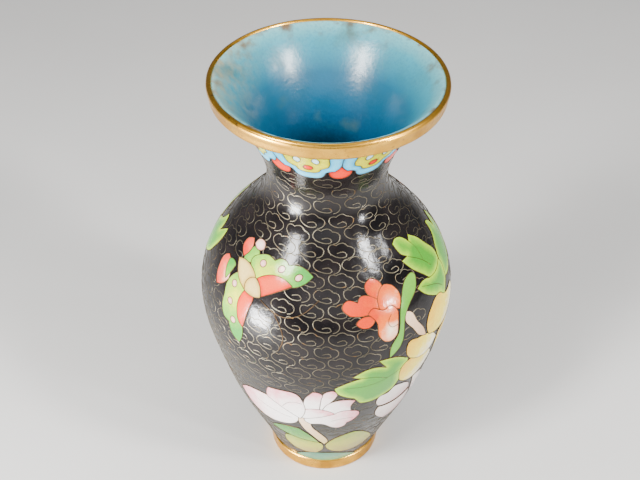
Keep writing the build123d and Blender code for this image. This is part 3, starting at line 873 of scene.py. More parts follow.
def build_mesh(name: str, places: np.ndarray, faces: list, values: dict | None = None) -> bpy.types.Object:
    """New smooth mesh object at the origin.

    Args:
        name: name of the object.
        places: vertex places in metres.
        faces: vertex numbers of each face.
        values: point attributes by name.

    Returns:
        The object, in the scene.
    """
    piece = add_object(name, places, [], faces)
    mesh = piece.data
    for key, numbers in (values or {}).items():
        attribute = mesh.attributes.new(key, "FLOAT", "POINT")
        attribute.data.foreach_set("value", np.asarray(numbers, np.float32))
    mesh.polygons.foreach_set("use_smooth", [True] * len(mesh.polygons))
    mesh.update()
    return piece


def spin(name: str, section: list[Point], parts: int, closed: bool, ripple: float = 0.0,
         ripple_mm: float = 6.0) -> bpy.types.Object:
    """Mesh turned about the vase's axis, with a slight handmade unevenness.

    Args:
        name: name of the object.
        section: radii and heights in millimetres, outer side first going up.
        parts: number of steps round the axis.
        closed: whether the section's last point joins its first.
        ripple: height of the unevenness in millimetres.
        ripple_mm: size of the unevenness's waves in millimetres.

    Returns:
        The object.
    """
    rows = np.array(section, float)
    angles = np.linspace(0, 2 * math.pi, parts, endpoint=False)
    radius = rows[:, 0:1] * np.ones(parts)
    height = rows[:, 1:2] * np.ones(parts)
    uneven = [i for i in range(len(rows)) if ripple and rows[i, 0] > 0]
    for i in uneven:
        for j, angle in enumerate(angles):
            around = (math.sin(angle), math.cos(angle))
            spot = Vector((radius[i, j] * around[0], radius[i, j] * around[1], height[i, j]))
            wave = noise.noise(spot / ripple_mm) + 0.4 * noise.noise(spot / (ripple_mm * 0.4))
            radius[i, j] += ripple * wave
    places = np.stack([radius * np.sin(angles), -radius * np.cos(angles), height], -1).reshape(-1, 3)
    count = len(rows) if closed else len(rows) - 1
    faces = []
    for i in range(count):
        above = (i + 1) % len(rows)
        for j in range(parts):
            after = (j + 1) % parts
            faces.append((i * parts + j, i * parts + after, above * parts + after, above * parts + j))
    piece = build_mesh(name, places * MM, faces)
    tidy = bmesh.new()
    tidy.from_mesh(piece.data)
    bmesh.ops.remove_doubles(tidy, verts=tidy.verts, dist=1e-6)
    if closed:
        bmesh.ops.recalc_face_normals(tidy, faces=tidy.faces)
    tidy.to_mesh(piece.data)
    tidy.free()
    return piece


class GeometryTree:
    """Geometry Nodes tree with named inputs, applied to a mesh and then removed."""

    def __init__(self, name: str, inputs: dict[str, str]) -> None:
        """Start the tree.

        Args:
            name: name of the tree.
            inputs: socket type by input name.
        """
        self.tree = bpy.data.node_groups.new(name, "GeometryNodeTree")
        face = self.tree.interface
        face.new_socket("Geometry", in_out="INPUT", socket_type="NodeSocketGeometry")
        for key, kind in inputs.items():
            face.new_socket(key, in_out="INPUT", socket_type=kind)
        face.new_socket("Geometry", in_out="OUTPUT", socket_type="NodeSocketGeometry")
        self.given = add_node(self.tree, "NodeGroupInput").outputs

    def node(self, kind: str, settings: dict | None = None, inputs: dict | None = None) -> bpy.types.Node:
        """Add a node to the tree."""
        return add_node(self.tree, kind, settings, inputs)

    def combine(self, operation: str, *values: object) -> bpy.types.NodeSocket:
        """Add an operation to the tree and give its result."""
        return combine(self.tree, operation, *values)

    def read(self, name: str) -> bpy.types.NodeSocket:
        """Point attribute by name."""
        kind = "GeometryNodeInputNamedAttribute"
        return self.node(kind, {"data_type": "FLOAT"}, {"Name": name}).outputs["Attribute"]

    def turned(self, geometry: bpy.types.NodeSocket) -> None:
        """End the tree with copies turned evenly about Z, made real and given their material.

        Args:
            geometry: what is copied.
        """
        count = self.given["Copies"]
        places = self.node("GeometryNodeMeshLine", inputs={"Count": count, "Offset": (0, 0, 0)})
        share = self.combine("DIVIDE", self.node("GeometryNodeInputIndex").outputs[0], count)
        angle = self.combine("MULTIPLY", share, 2 * math.pi)
        turn = self.node("ShaderNodeCombineXYZ", inputs={"Z": angle})
        copies = self.node("GeometryNodeInstanceOnPoints", inputs={
            "Points": places.outputs[0], "Instance": geometry, "Rotation": turn.outputs[0]})
        self.end(copies.outputs[0])

    def end(self, geometry: bpy.types.NodeSocket) -> None:
        """End the tree: make the geometry real and give it its material.

        Args:
            geometry: what the tree has made.
        """
        real = self.node("GeometryNodeRealizeInstances", inputs={"Geometry": geometry})
        coated = self.node("GeometryNodeSetMaterial", inputs={
            "Geometry": real.outputs[0], "Material": self.given["Material"]})
        self.node("NodeGroupOutput", inputs={"Geometry": coated.outputs[0]})

    def apply(self, piece: bpy.types.Object, values: dict) -> bpy.types.Object:
        """Run the tree on a mesh object and keep the result as its plain mesh.

        Args:
            piece: mesh object.
            values: input values by name.

        Returns:
            The same object.
        """
        modifier = piece.modifiers.new("made", "NODES")
        modifier.node_group = self.tree
        for item in self.tree.interface.items_tree:
            if item.in_out == "INPUT" and item.name in values:
                modifier[item.identifier] = values[item.name]
        graph = bpy.context.evaluated_depsgraph_get()
        made = bpy.data.meshes.new_from_object(
            piece.evaluated_get(graph), preserve_all_data_layers=True, depsgraph=graph)
        piece.modifiers.clear()
        piece.data = made
        made.polygons.foreach_set("use_smooth", [True] * len(made.polygons))
        return piece


def copies_tree() -> GeometryTree:
    """Tree that copies a mesh evenly about the vase's axis."""
    made = GeometryTree("turned_copies", {"Copies": "NodeSocketInt", "Material": "NodeSocketMaterial"})
    made.turned(made.given["Geometry"])
    return made


def wire_tree() -> GeometryTree:
    """Tree that turns edges into round wire and copies it evenly about the vase's axis."""
    made = GeometryTree("bent_wire", {
        "Copies": "NodeSocketInt", "Radius": "NodeSocketFloat", "Material": "NodeSocketMaterial"})
    lines = made.node("GeometryNodeMeshToCurve", inputs={"Mesh": made.given["Geometry"]})
    ring = made.node("GeometryNodeCurvePrimitiveCircle", inputs={
        "Resolution": 6, "Radius": made.given["Radius"]})
    wire = made.node("GeometryNodeCurveToMesh", inputs={
        "Curve": lines.outputs[0], "Profile Curve": ring.outputs[0], "Fill Caps": True})
    made.turned(wire.outputs[0])
    return made


def cloud_tree() -> GeometryTree:
    """Tree that puts small flat shapes on points and bends them onto the wall.

    Each point says its turn, rise, size and tilt. A shape's own x runs round the wall and its y
    up it, along the profile curve; its z is the height above the wall.
    """
    made = GeometryTree("laid_on_wall", {
        "Shapes": "NodeSocketCollection", "Profile": "NodeSocketObject", "Start": "NodeSocketFloat",
        "Seed": "NodeSocketInt", "Material": "NodeSocketMaterial"})

    shapes = made.node("GeometryNodeCollectionInfo", inputs={
        "Collection": made.given["Shapes"], "Separate Children": True, "Reset Children": True})
    pick = made.node("FunctionNodeRandomValue", {"data_type": "INT"}, {
        "Seed": made.given["Seed"], 4: 0, 5: 2})
    size = made.read("size")
    tilt = made.node("ShaderNodeCombineXYZ", inputs={"Z": made.read("tilt")})
    scale = made.node("ShaderNodeCombineXYZ", inputs={"X": size, "Y": size, "Z": 1.0})
    laid = made.node("GeometryNodeInstanceOnPoints", inputs={
        "Points": made.given["Geometry"], "Instance": shapes.outputs[0], "Pick Instance": True,
        "Instance Index": pick.outputs[2], "Rotation": tilt.outputs[0], "Scale": scale.outputs[0]})
    real = made.node("GeometryNodeRealizeInstances", inputs={"Geometry": laid.outputs[0]})
    drawn = made.node("GeometryNodeInputPosition").outputs[0]
    own = made.node("ShaderNodeSeparateXYZ", inputs={0: drawn}).outputs
    profile = made.node("GeometryNodeObjectInfo", inputs={"Object": made.given["Profile"]})
    curve = made.node("GeometryNodeMeshToCurve", inputs={"Mesh": profile.outputs["Geometry"]})
    rise = made.combine("ADD", made.read("rise"), own["Y"])
    spot = made.node("GeometryNodeSampleCurve", {"mode": "LENGTH"}, {
        "Curves": curve.outputs[0], "Length": made.combine("ADD", rise, made.given["Start"])})
    place = made.node("ShaderNodeSeparateXYZ", inputs={0: spot.outputs["Position"]}).outputs
    run = made.node("ShaderNodeSeparateXYZ", inputs={0: spot.outputs["Tangent"]}).outputs
    turn = made.combine("ADD", made.read("turn"), made.combine("DIVIDE", own["X"], place["X"]))
    radius = made.combine("ADD", place["X"], made.combine("MULTIPLY", run["Z"], own["Z"]))
    height = made.combine("SUBTRACT", place["Z"], made.combine("MULTIPLY", run["X"], own["Z"]))
    front = made.combine("MULTIPLY", radius, made.combine("COSINE", turn))
    bent = made.node("ShaderNodeCombineXYZ", inputs={
        "X": made.combine("MULTIPLY", radius, made.combine("SINE", turn)),
        "Y": made.combine("MULTIPLY", front, -1.0), "Z": height})
    moved = made.node("GeometryNodeSetPosition", inputs={
        "Geometry": real.outputs[0], "Position": bent.outputs[0]})
    made.end(moved.outputs[0])
    return made


class FadeKind(Enum):
    """What the colour of a cell follows, from 0 to 1."""

    EDGE = "away from the cell's own edge"
    SLOPE = "across the cell in one direction"
    RADIAL = "out from one point to the cell's far end"
    GLOW = "away from the nearest of some points"


@dataclass(frozen=True)
class Fade:
    """How a cell's colour runs.

    Args:
        kind: what it follows.
        reach: for EDGE, the millimetres it takes.
        at: for SLOPE the direction, for RADIAL the point.
        spots: for GLOW, points as x, y, reach and start value.
    """

    kind: FadeKind = FadeKind.EDGE
    reach: float = 1.5
    at: Point = (0.0, 0.0)
    spots: tuple[tuple[float, float, float, float], ...] = ()

    def read(self, flat: np.ndarray, edge: np.ndarray) -> np.ndarray:
        """Values at the vertices of one cell.

        Args:
            flat: vertex places in the motif's own millimetres.
            edge: distances from the cell's edge in millimetres.

        Returns:
            Values from 0 to 1.
        """
        if self.kind is FadeKind.EDGE:
            return np.clip(edge / self.reach, 0, 1)
        if self.kind is FadeKind.GLOW:
            ways = [np.hypot(flat[:, 0] - x, flat[:, 1] - y) / reach + start
                    for x, y, reach, start in self.spots]
            return np.clip(np.min(ways, axis=0), 0, 1)
        if self.kind is FadeKind.SLOPE:
            way = flat @ np.array(self.at)
        else:
            way = np.hypot(*(flat - np.array(self.at)).T)
        return (way - way.min()) / max(np.ptp(way), 1e-6)


def search_tree(points: np.ndarray) -> kdtree.KDTree:
    """Search tree of drawn points.

    Args:
        points: places on the drawing, x and y.

    Returns:
        A balanced tree that finds the nearest point.
    """
    tree = kdtree.KDTree(len(points))
    for number, point in enumerate(points):
        tree.insert((*point, 0), number)
    tree.balance()
    return tree


@dataclass(frozen=True)
class CellColour:
    """Enamel of the cells of one name.

    Args:
        node: CAD node that the cells stand for.
        slot: material slot of the node.
        enamel: finish of the cells.
        fade: how the colour runs across a cell.
    """

    node: str
    slot: str
    enamel: FiredEnamel
    fade: Fade = Fade()


@dataclass
class Motif:
    """A drawing laid on the wall, repeated evenly round the vase.

    Args:
        name: name of the motif.
        turn: degrees from the front.
        rise: millimetres along the profile.
        cells: colour name and outline of each cell, front cells first.
        copies: how many times it goes round.
        wires: open lines of wire that bound no cell.
        masks: outlines of other motifs' cells that lie in front of this one.
    """

    name: str
    turn: float
    rise: float
    cells: list[tuple[str, Outline]]
    copies: int = 2
    wires: list[Stroke] = field(default_factory=list)
    masks: list[np.ndarray] = field(default_factory=list)

    def __post_init__(self) -> None:
        """Trace the outlines once."""
        self.loops = [trace(outline) for _, outline in self.cells]

    def go_under(self, other: "Motif", turned: float = 0.0) -> None:
        """Let another motif's cells cover this one's.

        Args:
            other: the motif in front.
            turned: degrees that the copy of it that covers this one is turned by.
        """
        low = np.concatenate(self.loops).min(0)
        high = np.concatenate(self.loops).max(0)
        away = math.radians(other.turn + turned - self.turn)
        for loop in other.loops:
            moved = loop + (0.0, other.rise - self.rise)
            moved[:, 0] += away * WALL.section(self.rise + moved[:, 1])[0]
            if (moved.min(0) < high).all() and (moved.max(0) > low).all():
                self.masks.append(moved)

    def covers(self, turn: float, rise: float) -> bool:
        """Whether a place on the wall lies in one of the motif's cells.

        Args:
            turn: radians from the front.
            rise: millimetres along the profile.

        Returns:
            True if a cell covers the place.
        """
        radius = float(WALL.section(rise)[0])
        for number in range(self.copies):
            middle = math.radians(self.turn) + 2 * math.pi * number / self.copies
            way = (turn - middle + math.pi) % (2 * math.pi) - math.pi
            spot = np.array([[way * radius, rise - self.rise]])
            if any(is_inside(spot, loop)[0] for loop in self.loops):
                return True
        return False

    def lay(self, flat: np.ndarray, lift: np.ndarray | float = 0.0) -> np.ndarray:
        """Places on the wall of points drawn in the motif.

        Args:
            flat: drawn points in millimetres.
            lift: heights above the wall in millimetres.

        Returns:
            Places in metres.
        """
        rise = self.rise + flat[:, 1]
        turn = math.radians(self.turn) + flat[:, 0] / WALL.section(rise)[0]
        return WALL.points(turn, rise, lift)

    def grid(self) -> np.ndarray:
        """Points inside the motif's cells that give the filling its smooth face."""
        outline = np.concatenate(self.loops)
        tree = search_tree(outline)
        low, high = outline.min(0), outline.max(0)
        rows = np.arange(low[1], high[1], CELL_GRID * 0.87)
        points = []
        for number, y in enumerate(rows):
            shift = CELL_GRID / 2 * (number % 2)
            points.extend((x, y) for x in np.arange(low[0] + shift, high[0], CELL_GRID))
        points = np.array(points)
        inner = np.zeros(len(points), bool)
        for loop in self.loops:
            inner |= is_inside(points, loop)
        clear = [tree.find((*p, 0))[2] > CELL_GRID * 0.4 for p in points]
        return points[inner & np.array(clear)]

    def divide(self) -> tuple[np.ndarray, np.ndarray, np.ndarray]:
        """Cut the drawing into triangles.

        Returns:
            Drawn points, triangles, and the number of each triangle's cell.
        """
        points, edges = [], []
        for loop in (*self.loops, *self.masks):
            first = len(points)
            points.extend(loop)
            edges.extend((first + i, first + (i + 1) % len(loop)) for i in range(len(loop)))
        points.extend(self.grid())
        made = geometry.delaunay_2d_cdt([Vector(p) for p in points], edges, [], 0, 1e-4, False)
        flat = np.array([tuple(p) for p in made[0]])
        triangles = np.array(made[2])
        middles = flat[triangles].mean(1)
        owner = np.full(len(triangles), -1)
        for number in reversed(range(len(self.loops))):
            owner[is_inside(middles, self.loops[number])] = number
        for mask in self.masks:
            owner[is_inside(middles, mask)] = -1
        return flat, triangles, owner


@dataclass
class CellWork:
    """The enamel cells and wires of one motif.

    Args:
        motif: the drawing.
        colours: colours by cell name.
        copies: tree that copies a mesh round the vase.
        wire: tree that makes wire from edges.
        wire_metal: the wires' material.
    """

    motif: Motif
    colours: dict[str, CellColour]
    copies: GeometryTree
    wire: GeometryTree
    wire_metal: bpy.types.Material

    def build(self) -> None:
        """Fill the cells, colour by colour, then lay the wires."""
        flat, triangles, owner = self.motif.divide()
        for name in dict.fromkeys(name for name, _ in self.motif.cells):
            numbers = [i for i, (own, _) in enumerate(self.motif.cells) if own == name]
            self.fill(self.colours[name], numbers, flat, triangles, owner)
        self.bind(flat, triangles, owner)

    def fill(self, colour: CellColour, numbers: list[int], flat: np.ndarray,
             triangles: np.ndarray, owner: np.ndarray) -> None:
        """Make the enamel of one colour.

        Args:
            colour: the colour.
            numbers: numbers of its cells.
            flat: drawn points.
            triangles: triangles between them.
            owner: number of each triangle's cell.
        """
        places, faces, fades = [], [], []
        count = 0
        for number in numbers:
            own = triangles[owner == number]
            if not len(own):
                continue
            used, renamed = np.unique(own, return_inverse=True)
            own = renamed.reshape(-1, 3)
            spots = flat[used]
            edge = self.edge_distance(spots, own)
            swell = np.clip(edge / CELL_SHOULDER, 0, 1)
            lift = CELL_LIFT + CELL_CROWN * swell * (2 - swell)
            places.append(self.motif.lay(spots, lift))
            faces.extend(tuple(int(i) + count for i in face) for face in own)
            fades.append(colour.fade.read(spots, edge))
            count += len(spots)
        piece = build_mesh(
            f"{colour.node}_fill", np.concatenate(places), faces, {"fade": np.concatenate(fades)})
        self.copies.apply(piece, {"Copies": self.motif.copies, "Material": colour.enamel.make()})
        dress(piece, colour.slot, colour.node)

    @staticmethod
    def edge_distance(spots: np.ndarray, faces: np.ndarray) -> np.ndarray:
        """Distance of each vertex from the cell's edge.

        Args:
            spots: drawn vertex places.
            faces: the cell's triangles.

        Returns:
            Distances in millimetres.
        """
        counts: dict[tuple[int, int], int] = {}
        for a, b, c in faces:
            for pair in ((a, b), (b, c), (c, a)):
                key = (min(pair), max(pair))
                counts[key] = counts.get(key, 0) + 1
        border = sorted({i for pair, times in counts.items() if times == 1 for i in pair})
        tree = search_tree(spots[border])
        return np.array([tree.find((*spot, 0))[2] for spot in spots])

    def bind(self, flat: np.ndarray, triangles: np.ndarray, owner: np.ndarray) -> None:
        """Make the wires: one on every line between two cells or a cell and the ground.

        Args:
            flat: drawn points.
            triangles: triangles between them.
            owner: number of each triangle's cell.
        """
        sides: dict[tuple[int, int], list[int]] = {}
        for face, cell in zip(triangles, owner):
            for i in range(3):
                a, b = int(face[i]), int(face[(i + 1) % 3])
                sides.setdefault((min(a, b), max(a, b)), []).append(int(cell))
        lines = [pair for pair, cells in sides.items()
                 if (len(cells) == 1 and cells[0] >= 0) or (len(cells) == 2 and cells[0] != cells[1])]
        used = sorted({i for pair in lines for i in pair})
        rename = {i: number for number, i in enumerate(used)}
        places = [self.motif.lay(flat[used])]
        edges = [(rename[a], rename[b]) for a, b in lines]
        count = len(used)
        for stroke in self.motif.wires:
            path = run_strokes([stroke], False, OUTLINE_STEP)
            places.append(self.motif.lay(path))
            edges.extend((count + i, count + i + 1) for i in range(len(path) - 1))
            count += len(path)
        piece = add_object(f"{self.motif.name}_wires", np.concatenate(places), edges, [])
        self.wire.apply(piece, {
            "Copies": self.motif.copies, "Radius": WIRE_RADIUS * MM, "Material": self.wire_metal})
        dress(piece, "brass")


def dress(piece: bpy.types.Object, slot: str, *nodes: str) -> None:
    """Tie a finished piece to the frame.

    Args:
        piece: the piece.
        slot: name of a material slot; not used.
        nodes: CAD nodes that it stands for.
    """
    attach(piece, BODY)
    if nodes:
        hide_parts(*nodes)
    LOG.info("%s: %d faces", piece.name, len(piece.data.polygons))


@dataclass(frozen=True)
class CloudWires:
    """Cloud-shaped wires that fill the black ground in staggered rows; sizes in millimetres.

    Args:
        outline: strokes of one cloud.
        squash: share of the outline's height that is kept.
        wobble: how far a variant's points move, across and up.
        width: the wire's width.
        top: height of the wire's middle above the ground.
        sunk: depth of its sides.
        step: distance between samples along the wire.
        first_rows: rises of the top rows.
        row_gap: distance between the rows below.
        lowest: rise that the rows stop above.
        top_pitch: distance between clouds in the top row.
        pitch: distance between clouds in the others.
        wander: how far a cloud strays from its place.
        growth: share by which its size differs.
        lean: degrees by which it tilts.
        variants: number of different clouds.
        seed: start of the random draws.
    """

    outline: tuple = (
        ((-1.5, -0.8), (1.1, -0.9), (1.5, -1.8), (0.1, -2.3), (-1.7, -2.0), (-3.5, -1.0), (-4.2, 0.2),
         (-3.7, 1.8), (-2.6, 2.3), (-1.7, 1.9)),
        ((-0.7, 2.6), (0.9, 2.6), (1.9, 1.6)),
        ((3.5, 1.0), (4.1, -0.4), (3.5, -2.0), (1.9, -2.6)),
    )
    squash: float = 0.9
    wobble: Point = (0.12, 0.1)
    width: float = 0.34
    top: float = 0.05
    sunk: float = 0.06
    step: float = 0.85
    first_rows: tuple[float, ...] = (141.5, 135.8, 130.7, 125.7)
    row_gap: float = 4.8
    lowest: float = 3.6
    top_pitch: float = 12.0
    pitch: float = 9.5
    wander: float = 0.25
    growth: float = 0.05
    lean: float = 5.0
    variants: int = 3
    seed: int = 11

    def strip(self, number: int, chance: random.Random) -> bpy.types.Object:
        """One cloud as a strip of wire, a little different from the others.

        Args:
            number: number of the variant.
            chance: source of the differences.

        Returns:
            The object, drawn flat in metres.
        """
        right, up = self.wobble
        strokes = [
            [(x + chance.uniform(-right, right), self.squash * y + chance.uniform(-up, up))
             for x, y in stroke]
            for stroke in self.outline]
        path = run_strokes(strokes, False, self.step)
        way = np.gradient(path, axis=0)
        way /= np.linalg.norm(way, axis=1)[:, None]
        across = np.stack([-way[:, 1], way[:, 0]], 1) * self.width / 2
        rows = []
        for middle, side in zip(path, across):
            rows.extend([(*(middle + side), -self.sunk), (*middle, self.top), (*(middle - side), -self.sunk)])
        faces = []
        for i in range(len(path) - 1):
            for j in (0, 1):
                a = i * 3 + j
                faces.append((a + 1, a, a + 3, a + 4))
        return build_mesh(f"cloud_{number}", np.array(rows) * MM, faces)

    def rows(self, motifs: list[Motif]) -> dict[str, list[float]]:
        """Places of the clouds, leaving out those under a motif.

        Args:
            motifs: the motifs on the wall.

        Returns:
            Turns in radians, rises in metres, sizes and tilts.
        """
        chance = random.Random(self.seed)
        rises = list(self.first_rows)
        while rises[-1] - self.row_gap > self.lowest:
            rises.append(rises[-1] - self.row_gap)
        found: dict[str, list[float]] = {"turn": [], "rise": [], "size": [], "tilt": []}
        for row, rise in enumerate(rises):
            radius = float(WALL.section(rise)[0])
            count = round(2 * math.pi * radius / (self.top_pitch if row == 0 else self.pitch))
            for number in range(count):
                turn = 2 * math.pi * (number + 0.5 * (row % 2)) / count
                turn += chance.uniform(-self.wander, self.wander) / radius
                place = rise + chance.uniform(-self.wander, self.wander)
                size = chance.uniform(1 - self.growth, 1 + self.growth)
                tilt = math.radians(chance.uniform(-self.lean, self.lean))
                if any(motif.covers(turn, place) for motif in motifs):
                    continue
                for key, value in zip(found, (turn, place * MM, size, tilt)):
                    found[key].append(value)
        return found

    def build(self, motifs: list[Motif], metal: bpy.types.Material) -> None:
        """Make the wires.

        Args:
            motifs: the motifs on the wall.
            metal: the wires' material.
        """
        chance = random.Random(self.seed)
        shelf = bpy.data.collections.new("cloud_shapes")
        bpy.context.scene.collection.children.link(shelf)
        shapes = [self.strip(number, chance) for number in range(self.variants)]
        for shape in shapes:
            bpy.context.scene.collection.objects.unlink(shape)
            shelf.objects.link(shape)
        curve = [(radius * MM, 0, height * MM) for radius, height in WALL.curve]
        profile = add_object("profile", curve, [(i, i + 1) for i in range(len(curve) - 1)], [])
        places = self.rows(motifs)
        piece = build_mesh("cloud_wires", np.zeros((len(places["turn"]), 3)), [], places)
        cloud_tree().apply(piece, {
            "Shapes": shelf, "Profile": profile, "Start": BELOW_FOOT_TOP * MM, "Seed": self.seed,
            "Material": metal})
        for helper in (*shapes, profile):
            bpy.data.objects.remove(helper)
        bpy.data.collections.remove(shelf)
        dress(piece, "brass")


@dataclass(frozen=True)
class Body:
    """Ground enamel, lining, brass rim and foot ring, and the copper that shows beneath.

    Args:
        brass: material of the rim and the foot ring.
        steps: steps round the outside.
        inner_steps: steps round the lining and the foot.
        ground_low: rise of the ground's lower edge, in millimetres.
        ground_high: height of its upper edge.
        sunk: depth of the ground below the wall's face, where the wires stand.
        lining_low: rise of the lining's lowest ring.
        lining_high: height of the outside where its flare ends.
        wall: thickness of the wall.
        lip: lining's lip under the rim, as radii and heights.
    """

    brass: bpy.types.Material
    steps: int = 288
    inner_steps: int = 224
    ground_low: float = 0.05
    ground_high: float = 154.6
    sunk: float = 0.04
    lining_low: float = 2.4
    lining_high: float = 156.9
    wall: float = 2.5
    lip: tuple[Point, ...] = ((36.15, 159.35), (35.4, 159.3))

    def ground(self) -> None:
        """Black enamel that the cells lie in."""
        rises = np.linspace(self.ground_low, WALL.rise_at(self.ground_high), 190)
        section = list(zip(*WALL.section(rises, -self.sunk)))
        piece = spin("ground_enamel_skin", section, self.steps, False, 0.02, 5.0)
        piece.data.materials.append(GroundEnamel().make())
        dress(piece, "black", "ground_enamel")

    def lining(self) -> None:
        """Turquoise enamel from the lip down to the floor inside."""
        rises = np.linspace(WALL.rise_at(self.lining_high), self.lining_low, 130)
        radius, height = WALL.section(rises, -self.wall)
        floor = [(float(radius[-1]) * share, float(height[-1])) for share in (0.75, 0.5, 0.25, 0.0)]
        section = [*self.lip, *zip(radius, height), *floor]
        piece = spin("lining_enamel_skin", section, self.inner_steps, False, 0.1, 9.0)
        piece.data.materials.append(LiningEnamel().make())
        dress(piece, "turquoise", "inner_enamel")

    def rim(self) -> None:
        """Brass rim: a flat band that swells into a rounded lip."""
        piece = spin("mouth_rim_band", RIM, self.steps, True, 0.05, 8.0)
        piece.data.materials.append(self.brass)
        dress(piece, "brass", "mouth_rim")

    def foot(self) -> None:
        """Brass ring that the vase stands on."""
        piece = spin("foot_ring_band", FOOT, self.inner_steps, True)
        piece.data.materials.append(self.brass)
        dress(piece, "brass", "foot_ring")

    def inner_metal(self, nodes: dict[str, bpy.types.Object]) -> None:
        """Give the CAD nodes that stay their finish.

        Args:
            nodes: CAD nodes by name.
        """
        copper = RaisedCopper().make()
        coats = dict.fromkeys(("neck_shell", "shoulder_shell", "lower_shell", "base_plate"), copper)
        # The base enamel lies below the lining's shade ramp, so it takes its darkest painted-shade colour.
        coats["base_enamel"] = LiningEnamel("turquoise_base_enamel").make()
        for name, coat in coats.items():
            for material_slot in nodes[name].material_slots:
                material_slot.material = coat


ENAMELS = [
    CellColour("lappet_dot_enamel", "red", FiredEnamel("red_lappet_dot", "B81C08", "DE2A10", "E8401C")),
    CellColour(
        "lappet_pearl_enamel", "pale_blue",
        FiredEnamel("white_lappet_pearl", "A8DCEA", "CDECF0", "DDF2F2")),
    CellColour("lappet_yellow_enamel", "yellow", FiredEnamel("yellow_lappet", "ACA60E", "C8C412", "D2CE1C")),
    CellColour(
        "lappet_blue_enamel", "pale_blue",
        FiredEnamel("pale_blue_lappet", "2E9CC8", "4DB9E0", "5FC6E8")),
    CellColour("lappet_red_enamel", "red", FiredEnamel("red_lappet_fan", "B81C08", "E02810", "EA3A1C")),
    CellColour(
        "butterfly_spot_enamel", "white",
        FiredEnamel("pink_white_spot", "DC9888", "ECC4B2", "F2D8CA")),
    CellColour(
        "butterfly_body_enamel", "cream",
        FiredEnamel("cream_butterfly", "B89648", "D0B268", "DABE76")),
    CellColour("butterfly_patch_enamel", "coral", FiredEnamel("coral_patch", "C62C14", "DE4024", "E4502F")),
    CellColour(
        "butterfly_wing_enamel", "wing", FiredEnamel("green_wing", "D6DC34", "86BE38", "3F9434"),
        Fade(FadeKind.GLOW, spots=((3.0, 12.0, 13.0, 0.0), (-5.0, 1.0, 12.0, 0.0)))),
    CellColour(
        "butterfly_plume_enamel", "coral", FiredEnamel("coral_plume", "F4C8B4", "E8664A", "D23420"),
        Fade(FadeKind.GLOW, spots=((-5.0, 18.5, 7.0, 0.3), (-11.6, 5.0, 7.0, 0.0)))),
    CellColour(
        "flower_petal_enamel", "orange", FiredEnamel("orange_petal", "FFE6C8", "F4701A", "DA3A0C"),
        Fade(FadeKind.GLOW, spots=((-7.4, -5.4, 8.5, 0.0), (-3.2, 6.0, 18.0, 0.42)))),
    CellColour(
        "flower_leaf_enamel", "green", FiredEnamel("green_blade", "6CAE3A", "58A02C", "6EAE34"),
        Fade(FadeKind.SLOPE, at=(0.4, 0.9))),
    CellColour(
        "flower_stem_enamel", "cream", FiredEnamel("cream_stem", "F0CDA8", "E6BF98", "CFA880"),
        Fade(FadeKind.SLOPE, at=(0.3, -0.9))),
    CellColour(
        "peony_petal_enamel", "yellow", FiredEnamel("yellow_white_petal", "E8B400", "F2DA34", "FAF6E4"),
        Fade(FadeKind.SLOPE, at=(0.75, -0.66))),
    CellColour(
        "peony_leaf_enamel", "green", FiredEnamel("green_leaf", "AAD21C", "72AE24", "489426"),
        Fade(FadeKind.EDGE, 3.0)),
    CellColour(
        "magnolia_petal_enamel", "white", FiredEnamel("white_pink_petal", "FAF8F4", "F6E8E6", "E8909C"),
        Fade(FadeKind.RADIAL, at=(-8.0, 2.0))),
    CellColour(
        "magnolia_stem_enamel", "cream", FiredEnamel("cream_magnolia_stem", "ECCFB0", "E2BE8E", "CFB868"),
        Fade(FadeKind.SLOPE, at=(0.3, -0.9))),
    CellColour(
        "foot_green_enamel", "green", FiredEnamel("green_foot_leaf", "2E7A1E", "42861E", "7A9E22"),
        Fade(FadeKind.SLOPE, at=(0.3, -0.9))),
    CellColour(
        "foot_yellow_enamel", "yellow", FiredEnamel("yellow_foot_leaf", "7E9612", "A8A81A", "98863A"),
        Fade(FadeKind.SLOPE, at=(0.1, -1.0))),
    CellColour(
        "bank_enamel", "bank", FiredEnamel("mint_bank", "2C7056", "528E6E", "8EAA66"),
        Fade(FadeKind.SLOPE, at=(0.3, -0.9))),
    CellColour(
        "pale_flower_enamel", "white", FiredEnamel("pale_petal", "EAE2DA", "E0D0CC", "CFA8A8"),
        Fade(FadeKind.SLOPE, at=(0.5, -0.8))),
]


class Light(Enum):
    """Soft lights: where they stand as seen from the vase, distance, size and power."""

    LEFT = ((-0.56, -0.50, 0.67), 0.62, (0.11, 0.17), 6.4)
    RIGHT = ((0.63, -0.43, 0.65), 0.62, (0.08, 0.12), 4.2)
    SPARK = ((0.81, -0.18, 0.56), 0.62, (0.03, 0.03), 0.5)
    LOW_LEFT = ((-0.80, -0.58, -0.13), 0.36, (0.10, 0.07), 4.2)
    LOW_RIGHT = ((0.82, -0.555, 0.134), 0.5, (0.04, 0.04), 2.0)
    FRONT = ((0.05, -0.85, 0.42), 0.9, (0.9, 0.5), 1.8)
    OVERHEAD = ((0.1, 0.25, 0.96), 0.9, (0.7, 0.7), 2.4)


